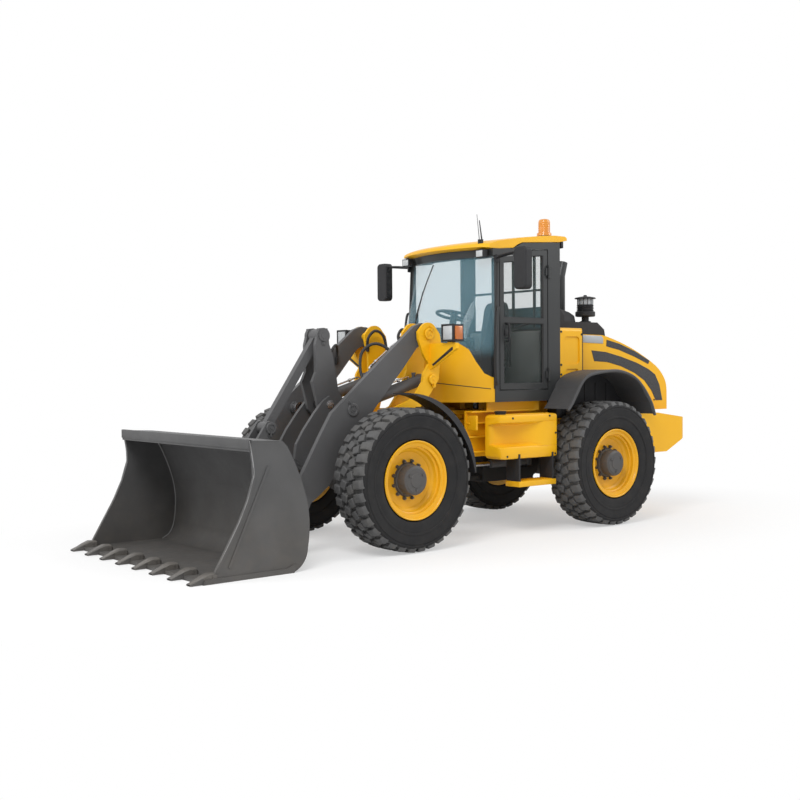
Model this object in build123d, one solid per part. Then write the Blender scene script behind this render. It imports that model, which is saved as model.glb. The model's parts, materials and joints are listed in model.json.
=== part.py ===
import os
from math import cos, hypot, pi, radians, sin, sqrt

from build123d import *

# Wheel loader, millimetres, +X forward, +Y to the left, +Z up.
# Driving dimensions; x is counted from the steering joint between the two frames.
WHEELBASE = 2815
TRACK = 1815
TYRE_RADIUS = 675
TYRE_WIDTH = 445
TYRE_SIDES = 24
LUG_COUNT = 20
LUG_HEIGHT = 34
RIM_FLANGE_RADIUS = 372
RIM_SEAT_RADIUS = 317
RIM_WIDTH = 390
HUB_RADIUS = 140
SPINDLE_RADIUS = 60
AXLE_TUBE_RADIUS = 105
AXLE_BALL_RADIUS = 190
TRUNNION_RADIUS = 90
BUCKET_HALF_WIDTH = 1190
TOOTH_TIP_X = 3797
TOOTH_COUNT = 8
REAR_OVERHANG = 1530.5
TYRE_GAP = 12.5
CAB_HALF_WIDTH = 700
CAB_FLOOR_Z = 1362
CAB_WALL = 60
DOOR_THICKNESS = 46
PANE_THICKNESS = 8
HOOD_HALF_WIDTH = 620
HOOD_FRONT_X = -1345
TANK_INNER_Y = 520
TANK_OUTER_Y = 920
FENDER_OUTER_Y = 1050
FENDER_RADIUS = 768
FENDER_SKIN = 25
FENDER_STRUT_TURN = 125
ARM_CENTRE_Y = 500
ARM_THICKNESS = 50
LIFT_CENTRE_Y = 405
PIN_CLEARANCE = 0.3

# Linkage points in the side view, (x, z), with the bucket flat on the ground.
BOOM_PIVOT = (800, 2056)
LIFT_BASE = (756, 1603)
LIFT_EYE = (1707, 1325)
BELLCRANK_PIVOT = (1716, 1370)
LEVER = (32, 670)
LINK_RUN = (606, -881)
TILT_ARM = (-200, -40)

BELLCRANK_TOP = (BELLCRANK_PIVOT[0] + LEVER[0], BELLCRANK_PIVOT[1] + LEVER[1])
LINK_END = (BELLCRANK_TOP[0] + LINK_RUN[0], BELLCRANK_TOP[1] + LINK_RUN[1])
BUCKET_PIVOT = (BELLCRANK_PIVOT[0] + LINK_RUN[0], BELLCRANK_PIVOT[1] + LINK_RUN[1])
TILT_EYE = (BELLCRANK_PIVOT[0] + TILT_ARM[0], BELLCRANK_PIVOT[1] + TILT_ARM[1])
TILT_BASE = (BOOM_PIVOT[0] + TILT_ARM[0], BOOM_PIVOT[1] + TILT_ARM[1])

# Steering cylinders: anchors (x, y) on the rear and the front frame, and their height.
STEER_BASE = (-880, 270)
STEER_EYE = (40, 250)
STEER_Z = 682

# Door hinge (x, y) and hood hinge (x, z).
DOOR_HINGE = (-772, CAB_HALF_WIDTH + 14)
HOOD_HINGE = (-WHEELBASE / 2 - 1432.5, 1180)

AXLE_Z = TYRE_RADIUS
FRONT_X = WHEELBASE / 2
REAR_X = -WHEELBASE / 2
WHEEL_Y = TRACK / 2
REAR_END_X = REAR_X - REAR_OVERHANG
WEIGHT_FRONT_X = REAR_X - TYRE_RADIUS - TYRE_GAP
FRAME_END_X = REAR_X - 1022.5
TANK_FRONT_X = FRONT_X - 1107.5
TANK_REAR_X = REAR_X + TYRE_RADIUS + 42.5
FENDER_MIDDLE = FENDER_RADIUS + FENDER_SKIN / 2
STRUT_X = FRONT_X + FENDER_MIDDLE * cos(radians(FENDER_STRUT_TURN))
STRUT_Z = AXLE_Z + FENDER_MIDDLE * sin(radians(FENDER_STRUT_TURN))
MIDDLE_X = (TOOTH_TIP_X + REAR_END_X) / 2

FRAME_INNER_Y = 150
FRAME_OUTER_Y = 190
FRAME_TOP_Z = 1155
TOWER_INNER_Y = (300, 330)
TOWER_OUTER_Y = (540, 570)
TOWER_TOP_RADIUS = 113
BOOM_PIN_RADIUS = 45
LINK_PIN_RADIUS = 30
TILT_EYE_RADIUS = 52
TILT_LUG_Y = (60, 90)
LEVER_PIN_RADIUS = 40
HINGE_PIN_RADIUS = 50
STEER_PIN_RADIUS = 24
HOOD_PIN_RADIUS = 15
DOOR_PIN_RADIUS = 6
LIFTING_EYE = (688, 1924)
LIFTING_EYE_RADIUS = 40


def box(x0, x1, y0, y1, z0, z1):
    size = Box(x1 - x0, y1 - y0, z1 - z0)
    return Pos((x0 + x1) / 2, (y0 + y1) / 2, (z0 + z1) / 2) * size


def plate(points, y0, y1):
    return sheet([Polyline(*points, close=True)], y0, y1)


def sheet(edges, y0, y1):
    # A plate from y0 to y1 whose outline, in the side view, is made of lines and curves.
    plane = Plane((0, y1, 0), x_dir=(1, 0, 0), z_dir=(0, -1, 0))
    face = plane * make_face(edges)
    return extrude(face, amount=y1 - y0, dir=(0, -1, 0))


def slab(points, z0, z1):
    face = Pos(0, 0, z0) * make_face(Polyline(*points, close=True))
    return extrude(face, amount=z1 - z0, dir=(0, 0, 1))


def bar_y(point, radius, y0, y1):
    return Pos(point[0], (y0 + y1) / 2, point[1]) * Rot(90, 0, 0) * Cylinder(radius, y1 - y0)


def bar_z(point, radius, z0, z1):
    return Pos(point[0], point[1], (z0 + z1) / 2) * Cylinder(radius, z1 - z0)


def bar_x(point, radius, x0, x1):
    return Pos((x0 + x1) / 2, point[0], point[1]) * Rot(0, 90, 0) * Cylinder(radius, x1 - x0)


def rod(start, end, radius):
    reach = Vector(*end) - Vector(*start)
    plane = Plane(start, z_dir=reach)
    return plane * Cylinder(radius, reach.length, align=(Align.CENTER, Align.CENTER, Align.MIN))


def mirrored(shape):
    return mirror(shape, about=Plane.XZ)


def pair(shape):
    return shape + mirrored(shape)


def save(name, *shapes):
    solids = [solid for shape in shapes for solid in shape.solids()]
    whole = Compound(solids).moved(Location((-MIDDLE_X, 0, 0)))
    export_step(whole, os.path.join("parts", name + ".step"))


def ring(profile):
    # A turned piece about the Y axis; the profile is (radius, y).
    face = Plane.XY * make_face(Polyline(*profile, close=True))
    return revolve(face, axis=Axis.Y)


def drum(rings):
    # A many-sided drum about the Y axis through rings of (radius, y).
    turns = [2 * pi * side / TYRE_SIDES for side in range(TYRE_SIDES)]
    loops = [[Vector(r * cos(turn), y, r * sin(turn)) for turn in turns] for r, y in rings]
    faces = [Face(Wire.make_polygon(loops[0])), Face(Wire.make_polygon(loops[-1]))]
    for low, high in zip(loops, loops[1:]):
        for side in range(TYRE_SIDES):
            corners = [low[side], low[side - 1], high[side - 1], high[side]]
            faces.append(Face(Wire.make_polygon(corners)))
    return Solid(Shell(faces))


def tread(turn, y0, y1):
    # One half of the tread: a band whose lugs stand out all round.
    pitch = 2 * pi / LUG_COUNT
    root = TYRE_RADIUS - LUG_HEIGHT
    points = []
    for lug in range(LUG_COUNT):
        for share, radius in ((0, TYRE_RADIUS), (0.56, TYRE_RADIUS), (0.66, root), (0.9, root)):
            angle = turn + (lug + share) * pitch
            points.append((radius * cos(angle), radius * sin(angle)))
    return plate(points, y0, y1)


def tyre():
    half = TYRE_WIDTH / 2
    shoulder = half - 22
    bead = RIM_WIDTH / 2 - 24.5
    wall = TYRE_RADIUS - LUG_HEIGHT - 16
    body = drum([(545, -half), (wall, -shoulder), (wall, shoulder), (545, half)])
    body += tread(0, 0, shoulder)
    body += tread(pi / LUG_COUNT, -shoulder, 0)
    dish = [(RIM_FLANGE_RADIUS + 8, bead), (RIM_FLANGE_RADIUS + 98, half - 8), (530, half)]
    body -= drum(dish)
    body -= drum([(r, -y) for r, y in reversed(dish)])
    seat = (RIM_SEAT_RADIUS + PIN_CLEARANCE) / cos(pi / TYRE_SIDES)
    return body - drum([(seat, -half), (seat, half)])


def rim():
    half = RIM_WIDTH / 2
    lip = half - 24
    skin = RIM_SEAT_RADIUS - 14
    barrel = [(skin, -half), (RIM_FLANGE_RADIUS, -half), (RIM_FLANGE_RADIUS, -lip)]
    barrel += [(RIM_SEAT_RADIUS, -lip), (RIM_SEAT_RADIUS, lip), (RIM_FLANGE_RADIUS, lip)]
    barrel += [(RIM_FLANGE_RADIUS, half), (skin, half)]
    bore = SPINDLE_RADIUS + PIN_CLEARANCE
    hub = [(bore, 22), (215, 22), (215, 42), (skin + 5, 42), (skin + 5, 60), (HUB_RADIUS + 12, 60)]
    hub += [(HUB_RADIUS, 80), (HUB_RADIUS, half - 15), (HUB_RADIUS - 15, half - 2), (0, half - 2)]
    hub += [(0, half - 60), (bore, half - 60)]
    return ring(barrel) + ring(hub)


def axle():
    inner = WHEEL_Y - 8
    body = bar_y((0, 0), AXLE_TUBE_RADIUS, -inner, inner)
    body += bar_y((0, 0), AXLE_BALL_RADIUS, -120, 120)
    ends = bar_y((0, 0), 165, 560, 670) + bar_y((0, 0), 150, 670, inner)
    ends += bar_y((0, 0), SPINDLE_RADIUS, inner, WHEEL_Y + RIM_WIDTH / 2 - 66)
    return body + pair(ends)


def rear_axle():
    trunnion = bar_x((0, 0), TRUNNION_RADIUS, -300, 300)
    return Pos(REAR_X, 0, AXLE_Z) * (axle() + trunnion)


def front_axle():
    pads = pair(box(-140, 140, 230, 330, 0, 125))
    return Pos(FRONT_X, 0, AXLE_Z) * (axle() + pads)


def rear_frame():
    side = [(-280, 480), (-280, 1265), (-700, 1265), (-780, FRAME_TOP_Z), (FRAME_END_X, FRAME_TOP_Z)]
    side += [(FRAME_END_X, 740), (REAR_X - 292, 740), (REAR_X - 232, 880), (REAR_X + 228, 880)]
    side += [(REAR_X + 288, 540), (REAR_X + 508, 480)]
    body = pair(plate(side, FRAME_INNER_Y, FRAME_OUTER_Y))
    body += box(-320, -280, -FRAME_OUTER_Y, FRAME_OUTER_Y, 480, 1265)
    body += box(FRAME_END_X, FRAME_END_X + 40, -FRAME_OUTER_Y, FRAME_OUTER_Y, 740, FRAME_TOP_Z)
    seat = bar_x((0, AXLE_Z), TRUNNION_RADIUS + PIN_CLEARANCE, REAR_X - 400, REAR_X + 400)
    for x in (REAR_X - 285, REAR_X + 245):
        body += box(x, x + 40, -FRAME_INNER_Y, FRAME_INNER_Y, 540, 1100)
    body -= seat
    for z0, z1 in ((500, 550), (630, 680), (1125, 1165), (1225, 1265)):
        body += box(-300, 0, -150, 150, z0, z1) + bar_z((0, 0), 150, z0, z1)
    body += bar_z((0, 0), HINGE_PIN_RADIUS, 490, 690) + bar_z((0, 0), HINGE_PIN_RADIUS, 1115, 1280)
    arms = box(TANK_REAR_X + 50, TANK_REAR_X + 150, FRAME_OUTER_Y, TANK_INNER_Y, 900, 1080)
    arms += box(-400, -300, FRAME_OUTER_Y, TANK_INNER_Y, 900, 1080)
    arms += box(-420, -300, 110, FRAME_OUTER_Y, 1265, CAB_FLOOR_Z)
    arms += box(-930, -830, 110, FRAME_OUTER_Y, FRAME_TOP_Z, CAB_FLOOR_Z)
    x, y = STEER_BASE
    for z0, z1 in ((STEER_Z - 70, STEER_Z - 48), (STEER_Z + 48, STEER_Z + 70)):
        arms += box(x - 55, x + 55, FRAME_OUTER_Y, y + 50, z0, z1)
    arms += bar_z((x, y), STEER_PIN_RADIUS, STEER_Z - 70, STEER_Z + 70)
    return body + pair(arms)


def counterweight():
    front, back = WEIGHT_FRONT_X, REAR_END_X
    side = [(front, 1190), (front - 305, 1190), (back + 68, 1128), (back, 1118), (back, 1092)]
    side += [(back + 26, 1076), (back + 26, 905), (back + 60, 880), (back + 378, 735), (front - 105, 735)]
    side += [(front - 45, 900)]
    body = plate(side, -880, 880)
    corners = body.edges().filter_by(Axis.Z).group_by(Axis.X)[0]
    body = fillet(corners, 110)
    body -= box(FRAME_END_X, front + 95, -260, 260, 600, 1300)
    x, z = HOOD_HINGE
    ears = plate([(x - 32, 1100), (x - 32, z), (x + 32, z), (x + 32, 1100)], 400, 425)
    ears += bar_y((x, z), 32, 400, 425)
    ears += bar_y((x, z), HOOD_PIN_RADIUS, 425, 475)
    return body + pair(ears)


def engine():
    block = box(REAR_X - 972.5, HOOD_FRONT_X - 55, -230, 230, FRAME_TOP_Z, 1650)
    block += box(REAR_X - 792.5, HOOD_FRONT_X - 255, -200, 200, 1650, 1780)
    return block


def tank():
    body = box(TANK_REAR_X, TANK_FRONT_X, TANK_INNER_Y, TANK_OUTER_Y, 793, 1279)
    body = fillet(body.edges().filter_by(Axis.Z).group_by(Axis.Y)[-1], 30)
    back, front = TANK_REAR_X + 110, TANK_FRONT_X - 160
    scoop = [(back, TANK_OUTER_Y), (-250, TANK_OUTER_Y - 90), (front, TANK_OUTER_Y - 130)]
    scoop += [(front, TANK_OUTER_Y + 10), (back, TANK_OUTER_Y + 10)]
    body -= slab(scoop, 880, 1185)
    body += box(TANK_REAR_X - 60, TANK_REAR_X, 700, TANK_OUTER_Y - 30, 1200, 1279)
    x0, x1 = TANK_REAR_X + 70, -100
    steps = box(x0, x1, 735, TANK_OUTER_Y + 10, 520, 545)
    for x in (x0 + 25, x1 - 25):
        steps += box(x - 7, x + 7, 735, TANK_OUTER_Y - 5, 545, 793)
    return body + steps


def rear_fender():
    arch = [(545, 815), (440, 935), (300, 985), (0, 1015), (-190, 1000), (-380, 937), (-530, 820)]
    legs = [(707.5, 604), (650, 665)], [(-660, 660), (-727.5, 515)]
    inside = [(-508, 798), (-368, 910), (-184, 971), (0, 985), (295, 956), (424, 909), (521, 794)]
    inner_legs = [(-695, 515), (-632, 645)], [(624, 648), (666, 604)]

    def placed(points):
        return [(REAR_X + x, AXLE_Z + z) for x, z in points]

    outline = [Polyline(*placed(legs[0] + arch[:1])), Spline(*placed(arch))]
    outline += [Polyline(*placed(arch[-1:] + legs[1] + inner_legs[0] + inside[:1])), Spline(*placed(inside))]
    outline += [Polyline(*placed(inside[-1:] + inner_legs[1] + legs[0][:1]))]
    band = sheet(outline, CAB_HALF_WIDTH + 2, FENDER_OUTER_Y)
    wall = sheet(outline, HOOD_HALF_WIDTH + 20, CAB_HALF_WIDTH + 2)
    behind = box(REAR_X - 900, HOOD_FRONT_X - 5, HOOD_HALF_WIDTH, CAB_HALF_WIDTH + 2, 1100, 1800)
    return band + (wall & behind)


def arc_through(nose, x_end, half):
    # Centre and radius, in plan, of a front from (x_end, -half) round the nose to (x_end, half).
    depth = nose - x_end
    radius = (depth * depth + half * half) / (2 * depth)
    return nose - radius, radius


CAB_INNER_Y = CAB_HALF_WIDTH - CAB_WALL
CAB_ARC = arc_through(470, 10, CAB_HALF_WIDTH - 10)
CAB_TOP_ARC = arc_through(130, -33, CAB_INNER_Y)
ROOF_ARC = arc_through(235, 95, CAB_HALF_WIDTH - 10)
BELT_Z = 1990
CAB_TOP_Z = 2870
COWL_LINE = [(0, 1612), (40, 1622), (110, 1660), (180, 1780), (235, 1905), (300, 1965), (480, BELT_Z)]


def front_band(inset, thickness, z0, z1):
    x, radius = CAB_ARC
    band = bar_z((x, 0), radius - inset, z0, z1) - bar_z((x, 0), radius - inset - thickness, z0, z1)
    return band & box(10, 700, -radius, radius, z0, z1)


def cab_cowl():
    above = COWL_LINE + [(700, BELT_Z), (700, 2200), (0, 2200)]
    return front_band(0, 30, CAB_FLOOR_Z, BELT_Z) - plate(above, -CAB_HALF_WIDTH - 50, CAB_HALF_WIDTH + 50)


def band_face(arc, thickness, z, x_end):
    x, radius = arc
    edges = []
    for r in (radius, radius - thickness):
        y = sqrt(r * r - (x_end - x) ** 2)
        edges.append(ThreePointArc((x_end, -y, z), (x + r, 0, z), (x_end, y, z)))
    ends = [Line(edges[0] @ 0, edges[1] @ 0), Line(edges[0] @ 1, edges[1] @ 1)]
    return make_face(edges + ends)


def windscreen():
    below = COWL_LINE + [(700, BELT_Z), (700, 1300), (0, 1300)]
    lower = front_band(0, PANE_THICKNESS, 1600, BELT_Z)
    lower -= plate(below, -CAB_HALF_WIDTH - 50, CAB_HALF_WIDTH + 50)
    foot = band_face(CAB_ARC, PANE_THICKNESS, BELT_Z, 10)
    head = band_face(CAB_TOP_ARC, PANE_THICKNESS, CAB_TOP_Z, -33)
    upper = loft([foot, head], ruled=True)
    return lower + upper


RAIL_LOW = [(-40, CAB_TOP_Z), (-280, 2895), (-420, 2955), (-960, 2992)]
RAIL_HIGH = [(-960, 3065), (-395, 3025), (-260, 2960), (40, 2940), (40, CAB_TOP_Z)]


def cab_frame():
    inner, outer = CAB_INNER_Y, CAB_HALF_WIDTH
    front_post = [(-50, CAB_FLOOR_Z), (10, CAB_FLOOR_Z), (10, BELT_Z), (-35, 2905), (-50, 2905)]
    sides = plate(front_post, inner, outer)
    sides += plate([(-960, CAB_FLOOR_Z), (-775, CAB_FLOOR_Z), (-775, 3000), (-960, 3020)], inner, outer)
    sides += plate(RAIL_LOW + RAIL_HIGH, inner, outer)
    sides += box(-775, -50, inner, outer, CAB_FLOOR_Z, 1480)
    body = pair(sides)
    x, radius = CAB_ARC
    floor = bar_z((x, 0), radius - 30 - PIN_CLEARANCE, CAB_FLOOR_Z, 1400)
    body += floor & box(-40, 700, -inner, inner, CAB_FLOOR_Z, 1400)
    body += box(-960, -40, -inner, inner, CAB_FLOOR_Z, 1400)
    body += box(-775, -50, -outer, -outer + 40, 1480, 2185)
    body += box(-960, -920, -inner, inner, 1400, 2150)
    body += box(-25, 40, -inner, inner, CAB_TOP_Z, 2940)
    body += box(-960, -900, -inner, inner, 2990, 3058)
    x, y = DOOR_HINGE
    for z in (1640, 2740):
        for z0, z1 in ((z - 70, z - 41), (z + 41, z + 70)):
            body += box(x - 40, x, outer, y - 2, z0, z1) + bar_z((x, y), 12, z0, z1)
        body += bar_z((x, y), DOOR_PIN_RADIUS, z - 70, z + 70)
    return body


DOOR_EDGE = [(-62, 1490), (-62, 2862), (-282, 2886), (-424, 2946), (-764, 2970), (-764, 1490)]
DOOR_UPPER = [(-117, 2236), (-117, 2812), (-276, 2830), (-416, 2890), (-704, 2912), (-704, 2236)]
DOOR_LOWER = [(-117, 1545), (-117, 2186), (-704, 2186), (-704, 1545)]


def shrunk(points, gap):
    xs = [x for x, z in points]
    zs = [z for x, z in points]
    cx = (min(xs) + max(xs)) / 2
    cz = (min(zs) + max(zs)) / 2
    kx = 1 - 2 * gap / (max(xs) - min(xs))
    kz = 1 - 2 * gap / (max(zs) - min(zs))
    return [(cx + (x - cx) * kx, cz + (z - cz) * kz) for x, z in points]


def door():
    face = CAB_HALF_WIDTH - 2
    body = plate(DOOR_EDGE, face - DOOR_THICKNESS, face)
    for window in (DOOR_UPPER, DOOR_LOWER):
        body -= plate(window, face - DOOR_THICKNESS, face)
    x, y = DOOR_HINGE
    for z in (1640, 2740):
        leaf = box(x, x + 40, face, y - 4, z - 38, z + 38) + bar_z((x, y), 12, z - 38, z + 38)
        body += leaf
        body -= bar_z((x, y), DOOR_PIN_RADIUS + PIN_CLEARANCE, z - 80, z + 80)
    return body


def door_glass():
    y = CAB_HALF_WIDTH - 28
    panes = plate(shrunk(DOOR_UPPER, PIN_CLEARANCE), y, y + PANE_THICKNESS)
    return panes + plate(shrunk(DOOR_LOWER, PIN_CLEARANCE), y, y + PANE_THICKNESS)


def cab_panes():
    right = [(-50, 2185), (-50, 2871), (-280, 2895), (-420, 2955), (-775, 2978), (-775, 2185)]
    y = 10 - CAB_HALF_WIDTH
    panes = plate(right, y, y + PANE_THICKNESS)
    return panes + box(-948, -948 + PANE_THICKNESS, -CAB_INNER_Y, CAB_INNER_Y, 2150, 2990)


def cab_roof():
    side = [(-960, 3065), (-395, 3025), (-260, 2960), (40, 2940), (190, 2940), (225, 2970), (150, 3012)]
    side += [(60, 3034), (-400, 3092), (-900, 3150), (-1060, 3150), (-1085, 3120), (-1080, 3085)]
    body = plate(side, 10 - CAB_HALF_WIDTH, CAB_HALF_WIDTH - 10)
    x, radius = ROOF_ARC
    return body & bar_z((x, 0), radius, 2900, 3200)


def roof_lamp():
    return box(70, 135, 545, 655, 2850, 2930) + box(90, 115, 585, 615, 2930, 2940)


def beacon():
    top = 3150
    body = bar_z((-980, 450), 70, top, top + 35) + bar_z((-980, 450), 60, top + 35, top + 190)
    return body + Pos(-980, 450, top + 190) * Sphere(60)


def seat():
    body = box(-600, -260, -200, 200, 1400, 1740) + box(-660, -180, -250, 250, 1740, 1870)
    back = plate([(-660, 1800), (-560, 1870), (-640, 2480), (-740, 2480)], -230, 230)
    return body + back


def steering_column():
    body = rod((150, 0, 1480), (-47, 0, 2275), 38) + box(120, 260, -180, 180, 1400, 1900)
    plane = Plane((-50, 0, 2285), z_dir=(-210, 0, 850))
    wheel = plane * (Torus(190, 16) + Box(380, 30, 16) + Cylinder(40, 40))
    return body + wheel


def mirror_arm():
    y = CAB_HALF_WIDTH
    foot = box(-40, 0, y, y + 12, 2800, 2880)
    arm = rod((-20, y + 6, 2850), (20, 1000, 2880), 14) + rod((20, 1000, 2880), (25, 1060, 2800), 14)
    head = box(-20, 75, 1030, 1200, 2498, 2925)
    head = fillet(head.edges().filter_by(Axis.X), 45)
    head = fillet(head.edges().group_by(Axis.X)[-1], 20)
    return foot + arm + head


def rear_cowl():
    y = CAB_HALF_WIDTH - 10
    body = box(-1335, -965, -y, y, 1590, 2150)
    body = fillet(body.edges().filter_by(Axis.X).group_by(Axis.Z)[-1], 40)
    for hand in (-1, 1):
        plane = Plane((-1160, hand * (y - 14), 0), x_dir=(1, 0, 0), z_dir=(0, hand, 0))
        niche = plane * Pos(0, -hand * 1905) * RectangleRounded(250, 300, 50)
        slot = plane * Pos(0, -hand * 1672) * SlotOverall(200, 58)
        body -= extrude(niche, amount=40) + extrude(slot, amount=40)
    legs = box(-1290, -1000, FRAME_INNER_Y, FRAME_OUTER_Y, FRAME_TOP_Z, 1620)
    legs += box(-1290, -1000, FRAME_INNER_Y, y - 15, 1590, 1620)
    return body + pair(legs)


def air_box():
    side = [(-1330, 2150), (-1330, 2300), (-1240, 2390), (-990, 2390), (-990, 2150)]
    return plate(side, -420, 420)


HOOD_LINE = [(REAR_X - 318.5, 2080), (REAR_X - 442.5, 2058), (REAR_X - 792.5, 1955), (REAR_X - 1169.5, 1795)]
HOOD_LINE += [(REAR_X - 1372.5, 1668), (REAR_X - 1442.5, 1590), (REAR_X - 1492.5, 1300)]
HOOD_INSIDE = [(REAR_X - 314.5, 2048), (REAR_X - 434.5, 2027), (REAR_X - 782.5, 1925)]
HOOD_INSIDE += [(REAR_X - 1154.5, 1766), (REAR_X - 1349.5, 1645), (REAR_X - 1414.5, 1578)]
HOOD_INSIDE += [(REAR_X - 1460.5, 1300)]
HOOD_FOOT_Z = 1215


def hood_outline(line, front, z):
    tail = line[-1][0]
    curve = Spline(*line, tangents=((-1, -0.06), (0, -1)))
    rest = Polyline(line[-1], (tail, z), (front[0], z), front, line[0])
    return [curve, rest]


def hood():
    outer = hood_outline(HOOD_LINE, (HOOD_FRONT_X, 2085), HOOD_FOOT_Z)
    body = sheet(outer, -HOOD_HALF_WIDTH, HOOD_HALF_WIDTH)
    inner = hood_outline(HOOD_INSIDE, (HOOD_FRONT_X + 45, 2052), HOOD_FOOT_Z - 115)
    body -= sheet(inner, 30 - HOOD_HALF_WIDTH, HOOD_HALF_WIDTH - 30)
    x, z = HOOD_HINGE
    lug = plate([(x - 40, 1300), (x - 28, z), (x + 28, z), (x, 1300)], 440, 465)
    lug += bar_y((x, z), 28, 440, 465)
    lug -= bar_y((x, z), HOOD_PIN_RADIUS + PIN_CLEARANCE, 400, 500)
    return body + pair(lug)


def hood_cover():
    tail = REAR_X - 742.5
    side = [(HOOD_FRONT_X, 2040), (tail, 1900), (tail, 1972), (tail + 40, 2160), (tail + 160, 2240)]
    side += [(HOOD_FRONT_X, 2240)]
    body = plate(side, -330, 330)
    under = hood_outline(HOOD_LINE, (HOOD_FRONT_X, 2085), HOOD_FOOT_Z)
    return body - sheet(under, -HOOD_HALF_WIDTH, HOOD_HALF_WIDTH)


def precleaner():
    at = (REAR_X - 462.5, 250)
    body = bar_z(at, 60, 2240, 2330) + bar_z(at, 105, 2330, 2350) + bar_z(at, 85, 2350, 2440)
    return body + bar_z(at, 110, 2440, 2500) + bar_z(at, 70, 2500, 2535)


def exhaust():
    x, y = REAR_X - 372.5, -60
    return bar_z((x, y), 58, 2240, 2800) + rod((x, y, 2780), (x - 50, y, 2960), 55)


def front_frame():
    nose = FRONT_X + 182.5
    top = [(640, 1990), (655, 2060), (720, 2135), (800, 2165), (880, 2135), (935, 2075), (930, 2000)]
    inner = top + [(890, 1850), (885, 1700), (960, 1520), (1100, 1340), (FRONT_X + 92.5, 1180), (nose, 1080)]
    inner += [(nose, 800), (745, 800), (745, 1300), (700, 1450), (660, 1700)]
    ledge = (STRUT_X - 15, STRUT_X + 290)
    low, high = STRUT_Z - 14, STRUT_Z + 16
    outer = top + [(870, 1850), (800, 1760), (868, 1660), (880, 1580), (1000, 1420), (ledge[1], high)]
    outer += [(ledge[1], low), (ledge[0], low), (800, 1440), (670, 1600), (650, 1800)]
    side = plate(inner, *TOWER_INNER_Y) + bar_y(BOOM_PIVOT, TOWER_TOP_RADIUS, *TOWER_INNER_Y)
    side += plate(outer, *TOWER_OUTER_Y) + bar_y(BOOM_PIVOT, TOWER_TOP_RADIUS, *TOWER_OUTER_Y)
    side -= bar_y(LIFTING_EYE, LIFTING_EYE_RADIUS, TOWER_OUTER_Y[0] - 5, TOWER_OUTER_Y[1] + 5)
    side += box(ledge[0] + 5, ledge[1] - 10, TOWER_INNER_Y[1], TOWER_OUTER_Y[0], low, high - 5)
    side += bar_y(BOOM_PIVOT, BOOM_PIN_RADIUS, TOWER_INNER_Y[0], TOWER_OUTER_Y[1] + 12)
    side += bar_y(LIFT_BASE, LINK_PIN_RADIUS, TOWER_INNER_Y[0], TOWER_OUTER_Y[1] + 12)
    side += plate([(745, 565), (745, 1220), (200, 1220), (200, 565)], 110, 150)
    ear = [(180, 60), (180, 200), (STEER_EYE[0] + 50, STEER_EYE[1] + 40), (STEER_EYE[0], STEER_EYE[1] + 60)]
    ear += [(STEER_EYE[0] - 50, STEER_EYE[1] + 40), (-30, 140), (0, 60)]
    side += slab(ear, 565, 615)
    body = pair(side)
    reach = TOWER_INNER_Y[0]
    body += box(745, nose, -reach, reach, 800, 830)
    body += box(nose - 30, nose, -reach, reach, 830, 1080)
    body += box(745, 775, -reach, reach, 565, 1260)
    neck = [(0, -140), (400, -150), (620, -195), (748, -330), (760, -330), (760, 330), (748, 330)]
    neck += [(620, 195), (400, 150), (0, 140)]
    for z0, z1 in ((565, 615), (1170, 1220)):
        lug = slab(neck, z0, z1) + bar_z((0, 0), 140, z0, z1)
        body += lug
    body -= bar_z((0, 0), HINGE_PIN_RADIUS + PIN_CLEARANCE, 400, 1300)
    x = FRONT_X
    body -= box(x - 230, x + 230, -160, 160, 780, 900)
    body += box(690, 760, -reach, reach, 1615, 1755)
    x, z = TILT_BASE
    lug = [(690, 1615), (760, 1615), (760, 1755), (x + 46, z + 24), (x - 40, z - 26), (x + 6, z - 136)]
    lugs = plate(lug, *TILT_LUG_Y) + bar_y(TILT_BASE, TILT_EYE_RADIUS, *TILT_LUG_Y)
    lugs -= bar_y(TILT_BASE, LINK_PIN_RADIUS + PIN_CLEARANCE, 40, 120)
    return body + pair(lugs)


def front_fender():
    inner = []
    outer = []
    for step in range(15):
        turn = radians(180 - 87 * step / 14)
        for line, radius in ((inner, FENDER_RADIUS), (outer, FENDER_RADIUS + FENDER_SKIN)):
            line.append((FRONT_X + radius * cos(turn), AXLE_Z + radius * sin(turn)))
    tip = FRONT_X + 292
    outer += [(FRONT_X + 130, AXLE_Z + FENDER_RADIUS + 28), (tip, AXLE_Z + FENDER_RADIUS + 52)]
    inner += [(FRONT_X + 130, AXLE_Z + FENDER_RADIUS + 6), (tip, AXLE_Z + FENDER_RADIUS + 40)]
    band = plate(outer + inner[::-1], 730, 1090)
    strut = bar_y((STRUT_X, STRUT_Z), FENDER_SKIN / 2 + 1, TOWER_OUTER_Y[1], 900)
    return band + strut


def head_lamp():
    bracket = [(TOWER_OUTER_Y[1], 1700), (TOWER_OUTER_Y[1], 1960), (960, 1960), (960, 1905)]
    plane = Plane((745, 0, 0), x_dir=(0, 1, 0), z_dir=(1, 0, 0))
    face = plane * make_face(Polyline(*bracket, close=True))
    body = extrude(face, amount=40, dir=(1, 0, 0))
    body += box(740, 790, 840, 900, 1960, 1975)
    return body + box(685, 810, 780, 960, 1975, 2140)


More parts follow.
